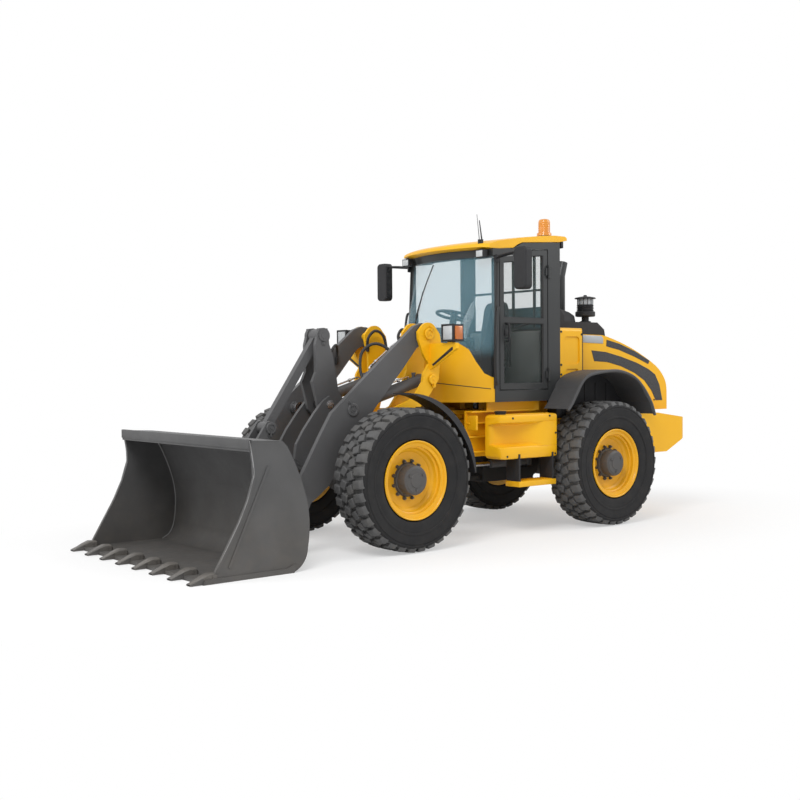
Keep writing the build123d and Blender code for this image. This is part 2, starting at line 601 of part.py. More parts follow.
def boom():
    arm = [(740, 2020), (780, 2150), (850, 2165), (944, 2133), (1364, 1792), (1779, 1446), (1953, 1299)]
    arm += [(2086, 1090), (2294, 741), (2360, 625), (2395, 540), (2322, 400), (2250, 435), (1997, 622)]
    arm += [(1439, 1340), (1123, 1680), (916, 1917)]
    y0 = ARM_CENTRE_Y - ARM_THICKNESS / 2
    y1 = ARM_CENTRE_Y + ARM_THICKNESS / 2
    side = plate(arm, y0, y1) + bar_y(BOOM_PIVOT, 105, y0, y1) + bar_y(BUCKET_PIVOT, 92, y0, y1)
    side -= bar_y(BOOM_PIVOT, BOOM_PIN_RADIUS + PIN_CLEARANCE, 400, 600)
    side -= bar_y(BUCKET_PIVOT, LEVER_PIN_RADIUS + PIN_CLEARANCE, 400, 600)
    rib = [(1716, 1455), (1800, 1400), (1900, 1290), (2026, 1131), (2110, 1000), (2130, 860), (1980, 735)]
    rib += [(1850, 735), (1780, 1000), (1660, 1240), (1632, 1370), (1655, 1430)]
    side += plate(rib, 125, 165) + bar_y((1900, 800), 80, 0, y0)
    side -= bar_y(BELLCRANK_PIVOT, LEVER_PIN_RADIUS + PIN_CLEARANCE, 100, 200)
    return pair(side)


def bucket_pin():
    return bar_y(BUCKET_PIVOT, LEVER_PIN_RADIUS, 412, 588)


def coupler():
    x, z = BUCKET_PIVOT
    ear = [(x - 20, z - 70), (2440, 380), (2560, 380), (2560, 500), (2440, 500), (x, z + 75)]
    side = box(2440, 2560, 0, 580, 380, 500)
    for y0, y1 in ((420, 455), (545, 580)):
        side += plate(ear, y0, y1) + bar_y(BUCKET_PIVOT, 75, y0, y1)
    side -= bar_y(BUCKET_PIVOT, LEVER_PIN_RADIUS + PIN_CLEARANCE, 400, 600)
    mast = [(2440, 400), (2375, 600), (2380, 1050), (2330, 1100), (2390, 1225), (2560, 980), (2560, 400)]
    side += plate(mast, 65, 100) + bar_y(LINK_END, 70, 65, 100)
    side += box(2500, 2560, 0, 65, 400, 950) + bar_y(LINK_END, LINK_PIN_RADIUS, 0, 104)
    return pair(side)


def shell_line(points):
    # The side view of the shell: flat floor, arcs up the back, and the lip.
    floor, curve, lip = points
    arcs = [ThreePointArc(*curve[i:i + 3]) for i in range(0, len(curve) - 1, 2)]
    return [Line(floor, curve[0])] + arcs + [Polyline(curve[-1], *lip, floor)]


def bucket():
    back = [(2842, 0), (2740, 62), (2685, 200), (2667, 426), (2700, 640), (2780, 860), (2885, 1070)]
    lip = [(2935, 1116), (3251, 1132), (3216, 950), (3212, 820), (3270, 640), (3356, 460), (3575, 94)]
    body = sheet(shell_line(((3620, 0), back, lip)), -BUCKET_HALF_WIDTH, BUCKET_HALF_WIDTH)
    hooks = [(2560, 330), (2560, 960), (2860, 960), (2760, 500), (2720, 330)]
    body += pair(plate(hooks, 300, 345))
    face = [(2850, 28), (2764, 82), (2713, 206), (2695, 426), (2727, 632), (2806, 848), (2908, 1050)]
    mouth = [(2947, 1088), (3260, 1104), (3800, 1104)]
    inside = BUCKET_HALF_WIDTH - 30
    body -= sheet(shell_line(((3800, 28), face, mouth)), -inside, inside)
    body += box(3560, 3690, -BUCKET_HALF_WIDTH, BUCKET_HALF_WIDTH, 0, 32)
    spread = BUCKET_HALF_WIDTH - 41
    pitch = 2 * spread / (TOOTH_COUNT - 1)
    tooth = [(3560, 32), (3560, 75), (3630, 78), (TOOTH_TIP_X, 14), (TOOTH_TIP_X, 4), (3690, 4), (3680, 32)]
    for i in range(TOOTH_COUNT):
        y = i * pitch - spread
        body += plate(tooth, y - 38, y + 38)
    return body


def bellcrank_pin():
    return bar_y(BELLCRANK_PIVOT, LEVER_PIN_RADIUS, 66, 170)


def bellcrank():
    side = [(1700, 2110), (1800, 2110), (1843, 1953), (1839, 1686), (1885, 1590), (1842, 1442), (1812, 1320)]
    side += [(1756, 1268), (1660, 1258), (1516, 1278), (1464, 1330), (1492, 1380), (1578, 1500), (1598, 1640)]
    side += [(1638, 1842), (1680, 1954)]
    body = plate(side, 70, 110) + bar_y(BELLCRANK_TOP, 75, 70, 110)
    body += bar_y(TILT_EYE, TILT_EYE_RADIUS, 70, 110)
    body -= bar_y(BELLCRANK_PIVOT, LEVER_PIN_RADIUS + PIN_CLEARANCE, 60, 120)
    return body - bar_y(BELLCRANK_TOP, LINK_PIN_RADIUS + PIN_CLEARANCE, 60, 120)


def link_pin():
    return bar_y(BELLCRANK_TOP, LINK_PIN_RADIUS, -116, 116)


def flat_link(start, end, half, y0, y1):
    reach = Vector(end[0] - start[0], end[1] - start[1])
    side = reach.rotate(Axis.Z, 90).normalized() * half
    corners = [Vector(*start) + side, Vector(*end) + side, Vector(*end) - side, Vector(*start) - side]
    return plate([(c.X, c.Y) for c in corners], y0, y1)


def tilt_link():
    body = flat_link(BELLCRANK_TOP, LINK_END, 42, -34, 34)
    body += bar_y(BELLCRANK_TOP, 66, -58, 58) + bar_y(LINK_END, 62, -56, 56)
    body -= bar_y(BELLCRANK_TOP, LINK_PIN_RADIUS + PIN_CLEARANCE, -80, 80)
    return body - bar_y(LINK_END, LINK_PIN_RADIUS + PIN_CLEARANCE, -80, 80)


def tilt_pin():
    return bar_y(TILT_BASE, LINK_PIN_RADIUS, -TILT_LUG_Y[1] - 8, TILT_LUG_Y[1] + 8)


def along(start, end, distance, y):
    length = hypot(end[0] - start[0], end[1] - start[1])
    share = distance / length
    return (start[0] + (end[0] - start[0]) * share, y, start[1] + (end[1] - start[1]) * share)


def cylinder_barrel(base, eye, y, radius, length, pin, width, rod_radius):
    body = rod(along(base, eye, 40, y), along(base, eye, length, y), radius)
    body += bar_y(base, pin + 28, y - width / 2, y + width / 2)
    body -= bar_y(base, pin + PIN_CLEARANCE, y - width, y + width)
    bore = rod_radius + PIN_CLEARANCE
    return body - rod(along(base, eye, pin + 60, y), along(base, eye, length + 50, y), bore)


def cylinder_rod(base, eye, y, inside, radius, eye_radius, width):
    body = rod(along(base, eye, inside, y), (eye[0], y, eye[1]), radius)
    body += bar_y(eye, eye_radius, y - width / 2, y + width / 2)
    return body - bar_y(eye, eye_radius - 22, y - width, y + width)


def steer_barrel():
    x, y = STEER_BASE
    start = Vector(x, y, STEER_Z)
    run = (Vector(*STEER_EYE, STEER_Z) - start).normalized()
    body = rod(start + run * 35, start + run * 560, 45) + bar_z(STEER_BASE, 48, STEER_Z - 40, STEER_Z + 40)
    body -= bar_z(STEER_BASE, STEER_PIN_RADIUS + PIN_CLEARANCE, STEER_Z - 80, STEER_Z + 80)
    return body - rod(start + run * 75, start + run * 620, 25 + PIN_CLEARANCE)


def steer_rod():
    start = Vector(*STEER_BASE, STEER_Z)
    end = Vector(*STEER_EYE, STEER_Z)
    run = (end - start).normalized()
    body = rod(start + run * 330, end, 25) + bar_z(STEER_EYE, 46, STEER_Z - 35, STEER_Z + 35)
    return body - bar_z(STEER_EYE, STEER_PIN_RADIUS, STEER_Z - 80, STEER_Z + 80)


def main():
    os.makedirs("parts", exist_ok=True)
    save("rear_frame", rear_frame())
    save("rear_axle", rear_axle())
    save("counterweight", counterweight())
    save("engine", engine())
    save("cab_frame", cab_frame())
    save("cab_cowl", cab_cowl())
    save("windscreen", windscreen())
    save("cab_panes", cab_panes())
    save("cab_roof", cab_roof())
    save("beacon", beacon())
    save("seat", seat())
    save("steering_column", steering_column())
    save("rear_cowl", rear_cowl())
    save("air_box", air_box())
    save("door", door())
    save("door_glass", door_glass())
    save("hood", hood())
    save("hood_cover", hood_cover())
    save("precleaner", precleaner())
    save("exhaust", exhaust())
    save("front_frame", front_frame())
    save("front_axle", front_axle())
    save("boom", boom())
    save("bucket_pins", bucket_pin(), mirrored(bucket_pin()))
    save("coupler", coupler())
    save("bucket", bucket())
    save("bellcrank_pins", bellcrank_pin(), mirrored(bellcrank_pin()))
    save("bellcrank", bellcrank(), mirrored(bellcrank()))
    save("link_pin", link_pin())
    save("tilt_link", tilt_link())
    save("tilt_pin", tilt_pin())
    save("tilt_barrel", cylinder_barrel(TILT_BASE, TILT_EYE, 0, 52, 700, LINK_PIN_RADIUS, 106, 32))
    save("tilt_rod", cylinder_rod(TILT_BASE, TILT_EYE, 0, 420, 32, TILT_EYE_RADIUS, 100))
    lift_barrel = cylinder_barrel(LIFT_BASE, LIFT_EYE, LIFT_CENTRE_Y, 58, 800, LINK_PIN_RADIUS, 100, 34)
    lift_rod = cylinder_rod(LIFT_BASE, LIFT_EYE, LIFT_CENTRE_Y, 150, 34, 60, 80)
    save("lift_barrels", lift_barrel, mirrored(lift_barrel))
    save("lift_rods", lift_rod, mirrored(lift_rod))
    for name, shape in (("tank", tank()), ("rear_fender", rear_fender()), ("mirror", mirror_arm()),
                        ("roof_lamp", roof_lamp()), ("front_fender", front_fender()),
                        ("head_lamp", head_lamp()), ("steer_barrel", steer_barrel()),
                        ("steer_rod", steer_rod())):
        save(name + "_left", shape)
        save(name + "_right", mirrored(shape))
    for end, x in (("front", FRONT_X), ("rear", REAR_X)):
        for name, shape in (("tyre", tyre()), ("rim", rim())):
            left = Pos(x, WHEEL_Y, AXLE_Z) * shape
            save(name + "_" + end + "_left", left)
            save(name + "_" + end + "_right", mirrored(left))


if __name__ == "__main__":
    main()
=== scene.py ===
import json
from math import cos, pi, radians, sin, sqrt

import bmesh
import bpy
from mathutils import Matrix, Vector


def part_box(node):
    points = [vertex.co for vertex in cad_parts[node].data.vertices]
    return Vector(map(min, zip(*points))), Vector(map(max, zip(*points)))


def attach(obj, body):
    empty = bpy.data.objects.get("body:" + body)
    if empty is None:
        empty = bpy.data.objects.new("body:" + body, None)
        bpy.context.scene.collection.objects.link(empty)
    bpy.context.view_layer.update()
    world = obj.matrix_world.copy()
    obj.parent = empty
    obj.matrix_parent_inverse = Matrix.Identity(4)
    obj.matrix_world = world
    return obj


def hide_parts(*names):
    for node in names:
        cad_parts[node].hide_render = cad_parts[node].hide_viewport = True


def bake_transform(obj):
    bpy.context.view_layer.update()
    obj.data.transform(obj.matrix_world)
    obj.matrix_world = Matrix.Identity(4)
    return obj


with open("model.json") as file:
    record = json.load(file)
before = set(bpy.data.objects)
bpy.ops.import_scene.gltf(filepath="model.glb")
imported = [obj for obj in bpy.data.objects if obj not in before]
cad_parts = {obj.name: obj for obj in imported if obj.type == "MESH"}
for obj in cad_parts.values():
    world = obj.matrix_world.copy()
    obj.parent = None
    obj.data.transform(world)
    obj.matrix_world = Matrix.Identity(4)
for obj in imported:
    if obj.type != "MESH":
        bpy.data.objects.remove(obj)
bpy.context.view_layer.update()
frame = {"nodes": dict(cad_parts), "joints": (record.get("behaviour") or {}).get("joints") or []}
nodes = frame["nodes"]
hinge = next(Vector(j["pos_m"]) for j in frame["joints"] if j["name"] == "articulation")
scene = bpy.context.scene
print("frame loaded:", len(nodes), "nodes")


# places are written in millimetres from the steering joint, as in the part's source
def at(x, y, z):
    return Vector((x / 1000 + hinge.x, y / 1000, z / 1000))


# shader sums
class Wire:
    def __init__(self, shade, socket):
        self.shade = shade
        self.socket = socket

    def sum(self, operation, *others):
        return self.shade.node("ShaderNodeMath", {"operation": operation}, dict(enumerate(others)))

    def __add__(self, other):
        return self.sum("ADD", self, other)

    def __sub__(self, other):
        return self.sum("SUBTRACT", self, other)

    def __mul__(self, other):
        return self.sum("MULTIPLY", self, other)

    def __pow__(self, other):
        return self.sum("POWER", self, other)

    def __radd__(self, other):
        return self.sum("ADD", other, self)

    def __rsub__(self, other):
        return self.sum("SUBTRACT", other, self)

    def __rmul__(self, other):
        return self.sum("MULTIPLY", other, self)

    def above(self, edge, soft=0.02):
        return self.shade.node("ShaderNodeMapRange", {"interpolation_type": "SMOOTHSTEP"},
                               {"Value": self, "From Min": edge - soft, "From Max": edge + soft})


class Shade:
    def __init__(self, name, store=bpy.data.materials, surface="Principled BSDF"):
        self.owner = store.new(name)
        self.owner.use_nodes = True
        self.tree = self.owner.node_tree
        self.surface = self.tree.nodes[surface]
        self.coords = None

    def node(self, kind, settings=None, inputs=None, out=0):
        made = self.tree.nodes.new(kind)
        for key, value in (settings or {}).items():
            setattr(made, key, value)
        for key, value in (inputs or {}).items():
            self.feed(made.inputs[key], value)
        return Wire(self, made.outputs[out])

    def feed(self, socket, value):
        if isinstance(value, Wire):
            self.tree.links.new(value.socket, socket)
        elif isinstance(value, (tuple, list)) and len(value) == 3 and socket.type == "RGBA":
            socket.default_value = (*value, 1)
        else:
            socket.default_value = value

    def place(self):
        if self.coords is None:
            self.coords = self.node("ShaderNodeTexCoord", out="Object")
        return self.coords

    def noise(self, scale, detail=3):
        return self.node("ShaderNodeTexNoise", None, {"Vector": self.place(), "Scale": scale, "Detail": detail}, "Fac")

    def cells(self, scale):
        return self.node("ShaderNodeTexVoronoi", None, {"Vector": self.place(), "Scale": scale}, "Distance")

    def height(self):
        return self.node("ShaderNodeSeparateXYZ", None, {0: self.place()}, "Z")

    def mix(self, factor, a, b):
        return self.node("ShaderNodeMix", {"data_type": "RGBA"}, {0: factor, 6: a, 7: b}, 2)

    def bump(self, height, strength, distance):
        return self.node("ShaderNodeBump", None, {"Height": height, "Strength": strength, "Distance": distance})

    def wear(self, **sockets):
        for key, value in sockets.items():
            self.feed(self.surface.inputs[key.replace("_", " ")], value)
        return self.owner


dryDust, roadDust = (0.23, 0.18, 0.12), (0.13, 0.12, 0.105)


# coated steel and mouldings: a colour with a darker tone in random patches, dust low down and a fine orange peel
def coat(name, look):
    s = Shade(name)
    drift = s.noise(look.get("patch", 1.7), 4)
    colour = s.mix(drift.above(0.5, 0.25), look["colour"], look["deep"])
    grime = (1 - s.height().above(look.get("dustTop", 0.45), 0.5)) * s.noise(9, 5) * look["dust"]
    colour = s.mix(grime, colour, dryDust)
    speck = s.noise(look.get("grain", 420), 2)
    rough = look["rough"] + (s.noise(14, 4) - 0.5) * 0.16
    peel = s.bump(speck + s.noise(60, 2) * 0.6, look.get("peel", 0.08), 0.0015)
    return s.wear(Base_Color=colour, Roughness=rough, Normal=peel, Coat_Weight=look.get("gloss", 0.0),
                  Coat_Roughness=0.12, Specular_IOR_Level=0.32)


def splitPaintAndShade(name, look):
    # two colours that meet at a height: two-tone paint on the lamps, and on the frames a near-black foot that is
    # painted shade under the machine
    s = Shade(name)
    aboveSplit = s.height().above(look["edge"], 0.002)
    colour = s.mix(aboveSplit, look["foot"], look["head"])
    return s.wear(Base_Color=colour, Roughness=0.45, Normal=s.bump(s.noise(400, 2), 0.1, 0.001),
                  Specular_IOR_Level=0.32)


paints = {
    "loaderYellow": {"colour": (0.86, 0.455, 0.006), "deep": (0.82, 0.42, 0.005),
                     "rough": 0.4, "gloss": 0.12, "dust": 0.12},
    "rimYellow": {"colour": (0.84, 0.43, 0.006), "deep": (0.78, 0.38, 0.005),
                  "rough": 0.42, "gloss": 0.1, "dust": 0.14, "dustTop": 0.8},
    "armGrey": {"colour": (0.1, 0.1, 0.103), "deep": (0.084, 0.084, 0.086),
                "rough": 0.46, "gloss": 0.1, "dust": 0.12, "peel": 0.12},
    "bucketGrey": {"colour": (0.085, 0.085, 0.086), "deep": (0.066, 0.066, 0.067),
                   "rough": 0.52, "dust": 0.2, "peel": 0.2, "patch": 2.6},
    "frameGrey": {"colour": (0.032, 0.034, 0.035), "deep": (0.026, 0.028, 0.029),
                  "rough": 0.42, "gloss": 0.15, "dust": 0.1},
    "hubGrey": {"colour": (0.074, 0.074, 0.076), "deep": (0.058, 0.058, 0.06),
                "rough": 0.5, "dust": 0.25, "dustTop": 0.7},
    "mouldBlack": {"colour": (0.022, 0.022, 0.024), "deep": (0.017, 0.017, 0.019),
                   "rough": 0.58, "grain": 700, "peel": 0.3, "dust": 0.1},
    "fenderGrey": {"colour": (0.072, 0.072, 0.074), "deep": (0.06, 0.06, 0.062),
                   "rough": 0.55, "grain": 600, "peel": 0.25, "dust": 0.15},
    "engineGrey": {"colour": (0.12, 0.12, 0.12), "deep": (0.08, 0.08, 0.08),
                   "rough": 0.6, "dust": 0.3, "dustTop": 1.4},
    "toothGrey": {"colour": (0.12, 0.118, 0.116), "deep": (0.09, 0.088, 0.086),
                  "rough": 0.42, "dust": 0.3, "peel": 0.3, "patch": 6},
    "badgeGrey": {"colour": (0.40, 0.42, 0.44), "deep": (0.36, 0.38, 0.40),
                  "rough": 0.35, "gloss": 0.2, "dust": 0.05},
    # lighter grey of the bucket's edge lines: edge wear and painted highlight
    "wornGrey": {"colour": (0.26, 0.26, 0.262), "deep": (0.2, 0.2, 0.202),
                 "rough": 0.4, "dust": 0.1},
    "liningGrey": {"colour": (0.2, 0.215, 0.21), "deep": (0.17, 0.185, 0.18),
                   "rough": 0.7, "grain": 300, "peel": 0.3, "dust": 0.05},
}
coats = {name: coat(name, look) for name, look in paints.items()}


def brightSteel(name):
    s = Shade(name)
    return s.wear(Base_Color=(0.62, 0.62, 0.63), Metallic=1.0, Roughness=0.16 + s.noise(240, 2) * 0.16)


def rubber(name, look):
    s = Shade(name)
    dusty = s.noise(7, 5).above(0.56, 0.2) * look["dust"]
    colour = s.mix(dusty, look["colour"], roadDust)
    grain = s.bump(s.noise(330, 3), 0.25, 0.002)
    return s.wear(Base_Color=colour, Roughness=0.72 + (s.noise(20, 3) - 0.5) * 0.2, Normal=grain,
                  Specular_IOR_Level=look.get("shine", 0.5))


def pane(name, look):
    # tinted glass, darker and denser below a height
    s = Shade(name)
    low = 1 - s.height().above(look["edge"], look["fade"])
    tint = s.mix(low, look["tint"], look["lowTint"])
    cover = look["cover"] + low * (look["lowCover"] - look["cover"]) + s.noise(0.9, 1) * 0.03
    return s.wear(Base_Color=tint, Roughness=0.03, Alpha=cover, IOR=1.45, Specular_IOR_Level=0.7)


def lens(name, colour, glow):
    s = Shade(name)
    rib = s.node("ShaderNodeTexWave", {"bands_direction": "Z"}, {"Vector": s.place(), "Scale": 42}, "Fac")
    tone = s.mix(rib * 0.35, colour, tuple(c * 0.6 for c in colour))
    return s.wear(Base_Color=tone, Roughness=0.14, Coat_Weight=0.6, Normal=s.bump(rib, 0.3, 0.002),
                  Emission_Color=colour, Emission_Strength=glow)


def upholstery(name):
    s = Shade(name)
    weave = s.node("ShaderNodeTexBrick", {"offset": 0.5},
                   {"Vector": s.place(), "Scale": 160, "Color1": (1, 1, 1), "Color2": (0.7, 0.7, 0.7)}, "Color")
    colour = s.mix(s.noise(30, 4), (0.035, 0.036, 0.04), (0.06, 0.062, 0.068))
    return s.wear(Base_Color=colour, Roughness=0.88, Normal=s.bump(weave, 0.3, 0.001))


def punchedSteel(name):
    # punched steel guard: round holes between the wires, painted near-black as the shade seen through them
    s = Shade(name)
    holes = s.cells(95).above(0.36, 0.06)
    colour = s.mix(holes, (0.006, 0.006, 0.007), (0.035, 0.035, 0.037))
    return s.wear(Base_Color=colour, Roughness=0.55, Normal=s.bump(holes, 0.6, 0.003))


steel = brightSteel("brightSteel")
treadRubber = rubber("treadRubber", {"colour": (0.08, 0.08, 0.081), "dust": 0.3})
sideRubber = rubber("sideRubber", {"colour": (0.017, 0.017, 0.018), "dust": 0.06, "shine": 0.22})
hoseRubber = rubber("hoseRubber", {"colour": (0.018, 0.018, 0.019), "dust": 0.1})
# the clear panes' blue is the glass's tint and in part a painted sky reflection
clearPane = pane("clearPane", {"tint": (0.24, 0.49, 0.60), "cover": 0.15, "edge": 1.9, "fade": 0.1,
                               "lowTint": (0.03, 0.035, 0.036), "lowCover": 0.3})
doorPane = pane("doorPane", {"tint": (0.12, 0.18, 0.18), "cover": 0.09, "edge": 2.21, "fade": 0.02,
                             "lowTint": (0.022, 0.034, 0.03), "lowCover": 0.2})
amber = lens("amberLens", (0.5, 0.13, 0.015), 0.03)
beaconAmber = lens("beaconAmber", (0.7, 0.27, 0.018), 0.08)
white = lens("whiteLens", (0.5, 0.52, 0.53), 0.03)
red = lens("redLens", (0.55, 0.01, 0.01), 0.1)
mirrorFace = Shade("mirrorFace").wear(Base_Color=(0.8, 0.82, 0.84), Metallic=1.0, Roughness=0.03)
seatCloth = upholstery("seatCloth")
guardMesh = punchedSteel("guardMesh")

nodeCoats = {
    "loaderYellow": ["cab_cowl", "rear_cowl", "hood", "counterweight"],
    "armGrey": ["boom", "coupler", "bellcrank", "tilt_link", "tilt_barrel", "lift_barrels", "steer_barrel_left",
                "steer_barrel_right"],
    "bucketGrey": ["bucket"],
    "frameGrey": ["cab_frame", "door", "steering_column", "exhaust"],
    "hubGrey": ["front_axle", "rear_axle"],
    "mouldBlack": ["air_box", "hood_cover", "mirror_left", "mirror_right", "roof_lamp_left", "roof_lamp_right"],
    "fenderGrey": ["rear_fender_left", "rear_fender_right"],
    "engineGrey": ["engine"],
}


def paintNode(name, material):
    slots = nodes[name].data.materials
    slots.clear()
    slots.append(material)


for finish, names in nodeCoats.items():
    for name in names:
        paintNode(name, coats[finish])
for name in ("windscreen", "cab_panes"):
    paintNode(name, clearPane)
paintNode("door_glass", doorPane)
yellow, black = paints["loaderYellow"]["colour"], paints["mouldBlack"]["colour"]
lampCoat = splitPaintAndShade("lampCoat", {"edge": 1.968, "foot": yellow, "head": black})
for name in ("head_lamp_left", "head_lamp_right"):
    paintNode(name, lampCoat)
# the frames are near-black below 0.8 m: painted shade under the machine, over the yellow
chassisCoat = splitPaintAndShade("chassisCoat", {"edge": 0.8, "foot": (0.02, 0.019, 0.018), "head": yellow})
for name in ("rear_frame", "front_frame"):
    paintNode(name, chassisCoat)
for name in nodes:
    if "pin" in name.split("_")[-1] or "rod" in name:
        paintNode(name, steel)
print("materials ready:", len(bpy.data.materials))


# bmesh helpers
def boxIn(bm, low, high):
    size = Vector(high) - Vector(low)
    middle = (Vector(high) + Vector(low)) / 2
    spot = Matrix.Translation(middle) @ Matrix.Diagonal((*size, 1))
    return bmesh.ops.create_cube(bm, size=1, matrix=spot)["verts"]


def rodIn(bm, start, end, radius, segments=20, taper=1.0):
    reach = Vector(end) - Vector(start)
    turn = reach.to_track_quat("Z", "Y").to_matrix().to_4x4()
    spot = Matrix.Translation((Vector(start) + Vector(end)) / 2) @ turn
    return bmesh.ops.create_cone(bm, cap_ends=True, segments=segments, radius1=radius, radius2=radius * taper,
                                 depth=reach.length, matrix=spot)["verts"]


def turned(bm, profile, centre, axis, steps=64):
    # profile points are (radius, along the axis); the ring is spun about the axis
    side = Vector(axis).orthogonal().normalized()
    axis = Vector(axis).normalized()
    verts = [bm.verts.new(Vector(centre) + side * r + axis * d) for r, d in profile]
    edges = [bm.edges.new(pair) for pair in zip(verts, verts[1:])]
    bmesh.ops.spin(bm, geom=verts + edges, cent=centre, axis=axis, angle=2 * pi, steps=steps, use_merge=True)
    bmesh.ops.remove_doubles(bm, verts=bm.verts, dist=0.0002)


def outline(bm, points, depth):
    # a flat face through the points, pushed along depth to a plate
    face = bm.faces.new([bm.verts.new(p) for p in points])
    moved = bmesh.ops.extrude_face_region(bm, geom=[face])["geom"]
    bmesh.ops.translate(bm, vec=depth, verts=[v for v in moved if isinstance(v, bmesh.types.BMVert)])


def soften(bm, width, segments=2, verts=None):
    edges = bm.edges if verts is None else {e for v in verts for e in v.link_edges}
    bmesh.ops.bevel(bm, geom=list(edges), offset=width, affect="EDGES", segments=segments, profile=0.5, material=-1,
                    clamp_overlap=True)


def finishPiece(name, bm, body, *materials, sharp=32, replaces=(), slot=None):
    bmesh.ops.recalc_face_normals(bm, faces=bm.faces)
    data = bpy.data.meshes.new(name)
    bm.to_mesh(data)
    bm.free()
    for material in materials:
        data.materials.append(material)
    data.polygons.foreach_set("use_smooth", [True] * len(data.polygons))
    data.set_sharp_from_angle(angle=radians(sharp))
    piece = bpy.data.objects.new(name, data)
    scene.collection.objects.link(piece)
    if body:
        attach(piece, body)
    if replaces:
        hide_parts(*replaces)
    return piece


def along(points, steps):
    # a smooth run through the points
    line = [Vector(p) for p in points]
    ends = [line[0] * 2 - line[1]] + line + [line[-1] * 2 - line[-2]]
    run = []
    for a, b, c, d in zip(ends, ends[1:], ends[2:], ends[3:]):
        square, cube = 2 * a - 5 * b + 4 * c - d, 3 * b - a - 3 * c + d
        for k in range(steps):
            t = k / steps
            run.append(0.5 * (2 * b + (c - a) * t + square * t ** 2 + cube * t ** 3))
    return run + [line[-1]]


def skin(bm, rings):
    # bridges rings of points one after another and caps both ends
    loops = []
    for ring in rings:
        verts = [bm.verts.new(p) for p in ring]
        loops.append([bm.edges.new(pair) for pair in zip(verts, verts[1:] + verts[:1])])
    for pair in zip(loops, loops[1:]):
        bmesh.ops.bridge_loops(bm, edges=pair[0] + pair[1])
    for end in (loops[0], loops[-1]):
        bmesh.ops.contextual_create(bm, geom=end)


def tube(bm, points, radius, segments=10, steps=6):
    run = along(points, steps)
    side = (run[1] - run[0]).orthogonal().normalized()
    turns = [2 * pi * k / segments for k in range(segments)]
    rings = []
    for i, p in enumerate(run):
        ahead = (run[min(i + 1, len(run) - 1)] - run[max(i - 1, 0)]).normalized()
        side = (side - ahead * side.dot(ahead)).normalized()
        other = ahead.cross(side)
        rings.append([p + side * radius * cos(turn) + other * radius * sin(turn) for turn in turns])
    skin(bm, rings)


def bothTubes(bm, points, radius, segments=10, steps=6):
    # the same tube on either side, written for the left one
    for hand in (-1, 1):
        tube(bm, [at(x, hand * y, z) for x, y, z in points], radius, segments, steps)


def sidePlate(bm, points, y0, y1):
    # a plate with its outline in the side view, (x, z)
    outline(bm, [at(x, y0, z) for x, z in points], Vector((0, (y1 - y0) / 1000, 0)))


def bothPlates(bm, points, y0, y1):
    for hand in (-1, 1):
        sidePlate(bm, points, hand * y0, hand * y1)


def block(bm, low, high, bevel, segments=2):
    soften(bm, bevel / 1000, segments, boxIn(bm, at(*low), at(*high)))


def sideBlock(bm, hand, low, high, bevel, segments=2):
    # a block on one side, written for the left one
    y0, y1 = sorted((hand * low[1], hand * high[1]))
    block(bm, (low[0], y0, low[2]), (high[0], y1, high[2]), bevel, segments)


def bolt(bm, foot, axis, radius, height):
    rodIn(bm, foot, Vector(foot) + Vector(axis) * height, radius, 6)


def sideRod(bm, hand, pin, y0, y1, radius, segments):
    # a rod across the machine on one side, about a pin's place (x, z)
    rodIn(bm, at(pin[0], hand * y0, pin[1]), at(pin[0], hand * y1, pin[1]), radius, segments)


def pinCap(bm, hand, pin, y, radius, keeper):
    # a turned cap over a pin's end, locked by a keeper plate with two bolts
    out = Vector((0, hand, 0))
    foot = at(pin[0], hand * y, pin[1])
    r = radius / 1000
    cap = [(r, -0.004), (r, 0.008), (r * 0.9, 0.012), (r * 0.62, 0.012), (r * 0.56, 0.006), (0, 0.006)]
    turned(bm, cap, foot, out, 32)
    bolt(bm, foot + out * 0.004, out, 0.012, 0.012)
    end = foot + Vector((keeper[0] / 1000, 0, keeper[1] / 1000))
    rodIn(bm, foot + out * 0.002, foot + out * 0.009, 0.03, 18)
    for share in (0.62, 1.0):
        place = foot.lerp(end, share)
        rodIn(bm, place, place + out * 0.007, 0.024, 18)
        bolt(bm, place + out * 0.006, out, 0.013, 0.012)
    across = (end - foot).normalized().cross(out) * 0.022
    outline(bm, [foot + across, end + across, end - across, foot - across], out * 0.007)


# wheels
tyreSet = {"pitches": 34, "depth": 0.036, "run": 0.084, "shoulder": (0.1, 0.2), "crown": (0.01, 0.088), "skew": 22,
           "bevel": 0.006, "narrow": 0.92, "treadLine": 0.634, "lugTop": (0.006, 0.197), "lugFoot": (0.618, 0.2165),
           "wall": ((0.3185, 0.135), (0.35, 0.14), (0.374, 0.146), (0.378, 0.168), (0.386, 0.188), (0.402, 0.197),
                    (0.44, 0.204), (0.486, 0.2075), (0.492, 0.2155), (0.506, 0.2175), (0.511, 0.2135), (0.556, 0.2195),
                    (0.59, 0.2215), (0.596, 0.2165), (0.604, 0.2165), (0.61, 0.2215), (0.621, 0.2195), (0.629, 0.214),
                    (0.633, 0.204))}
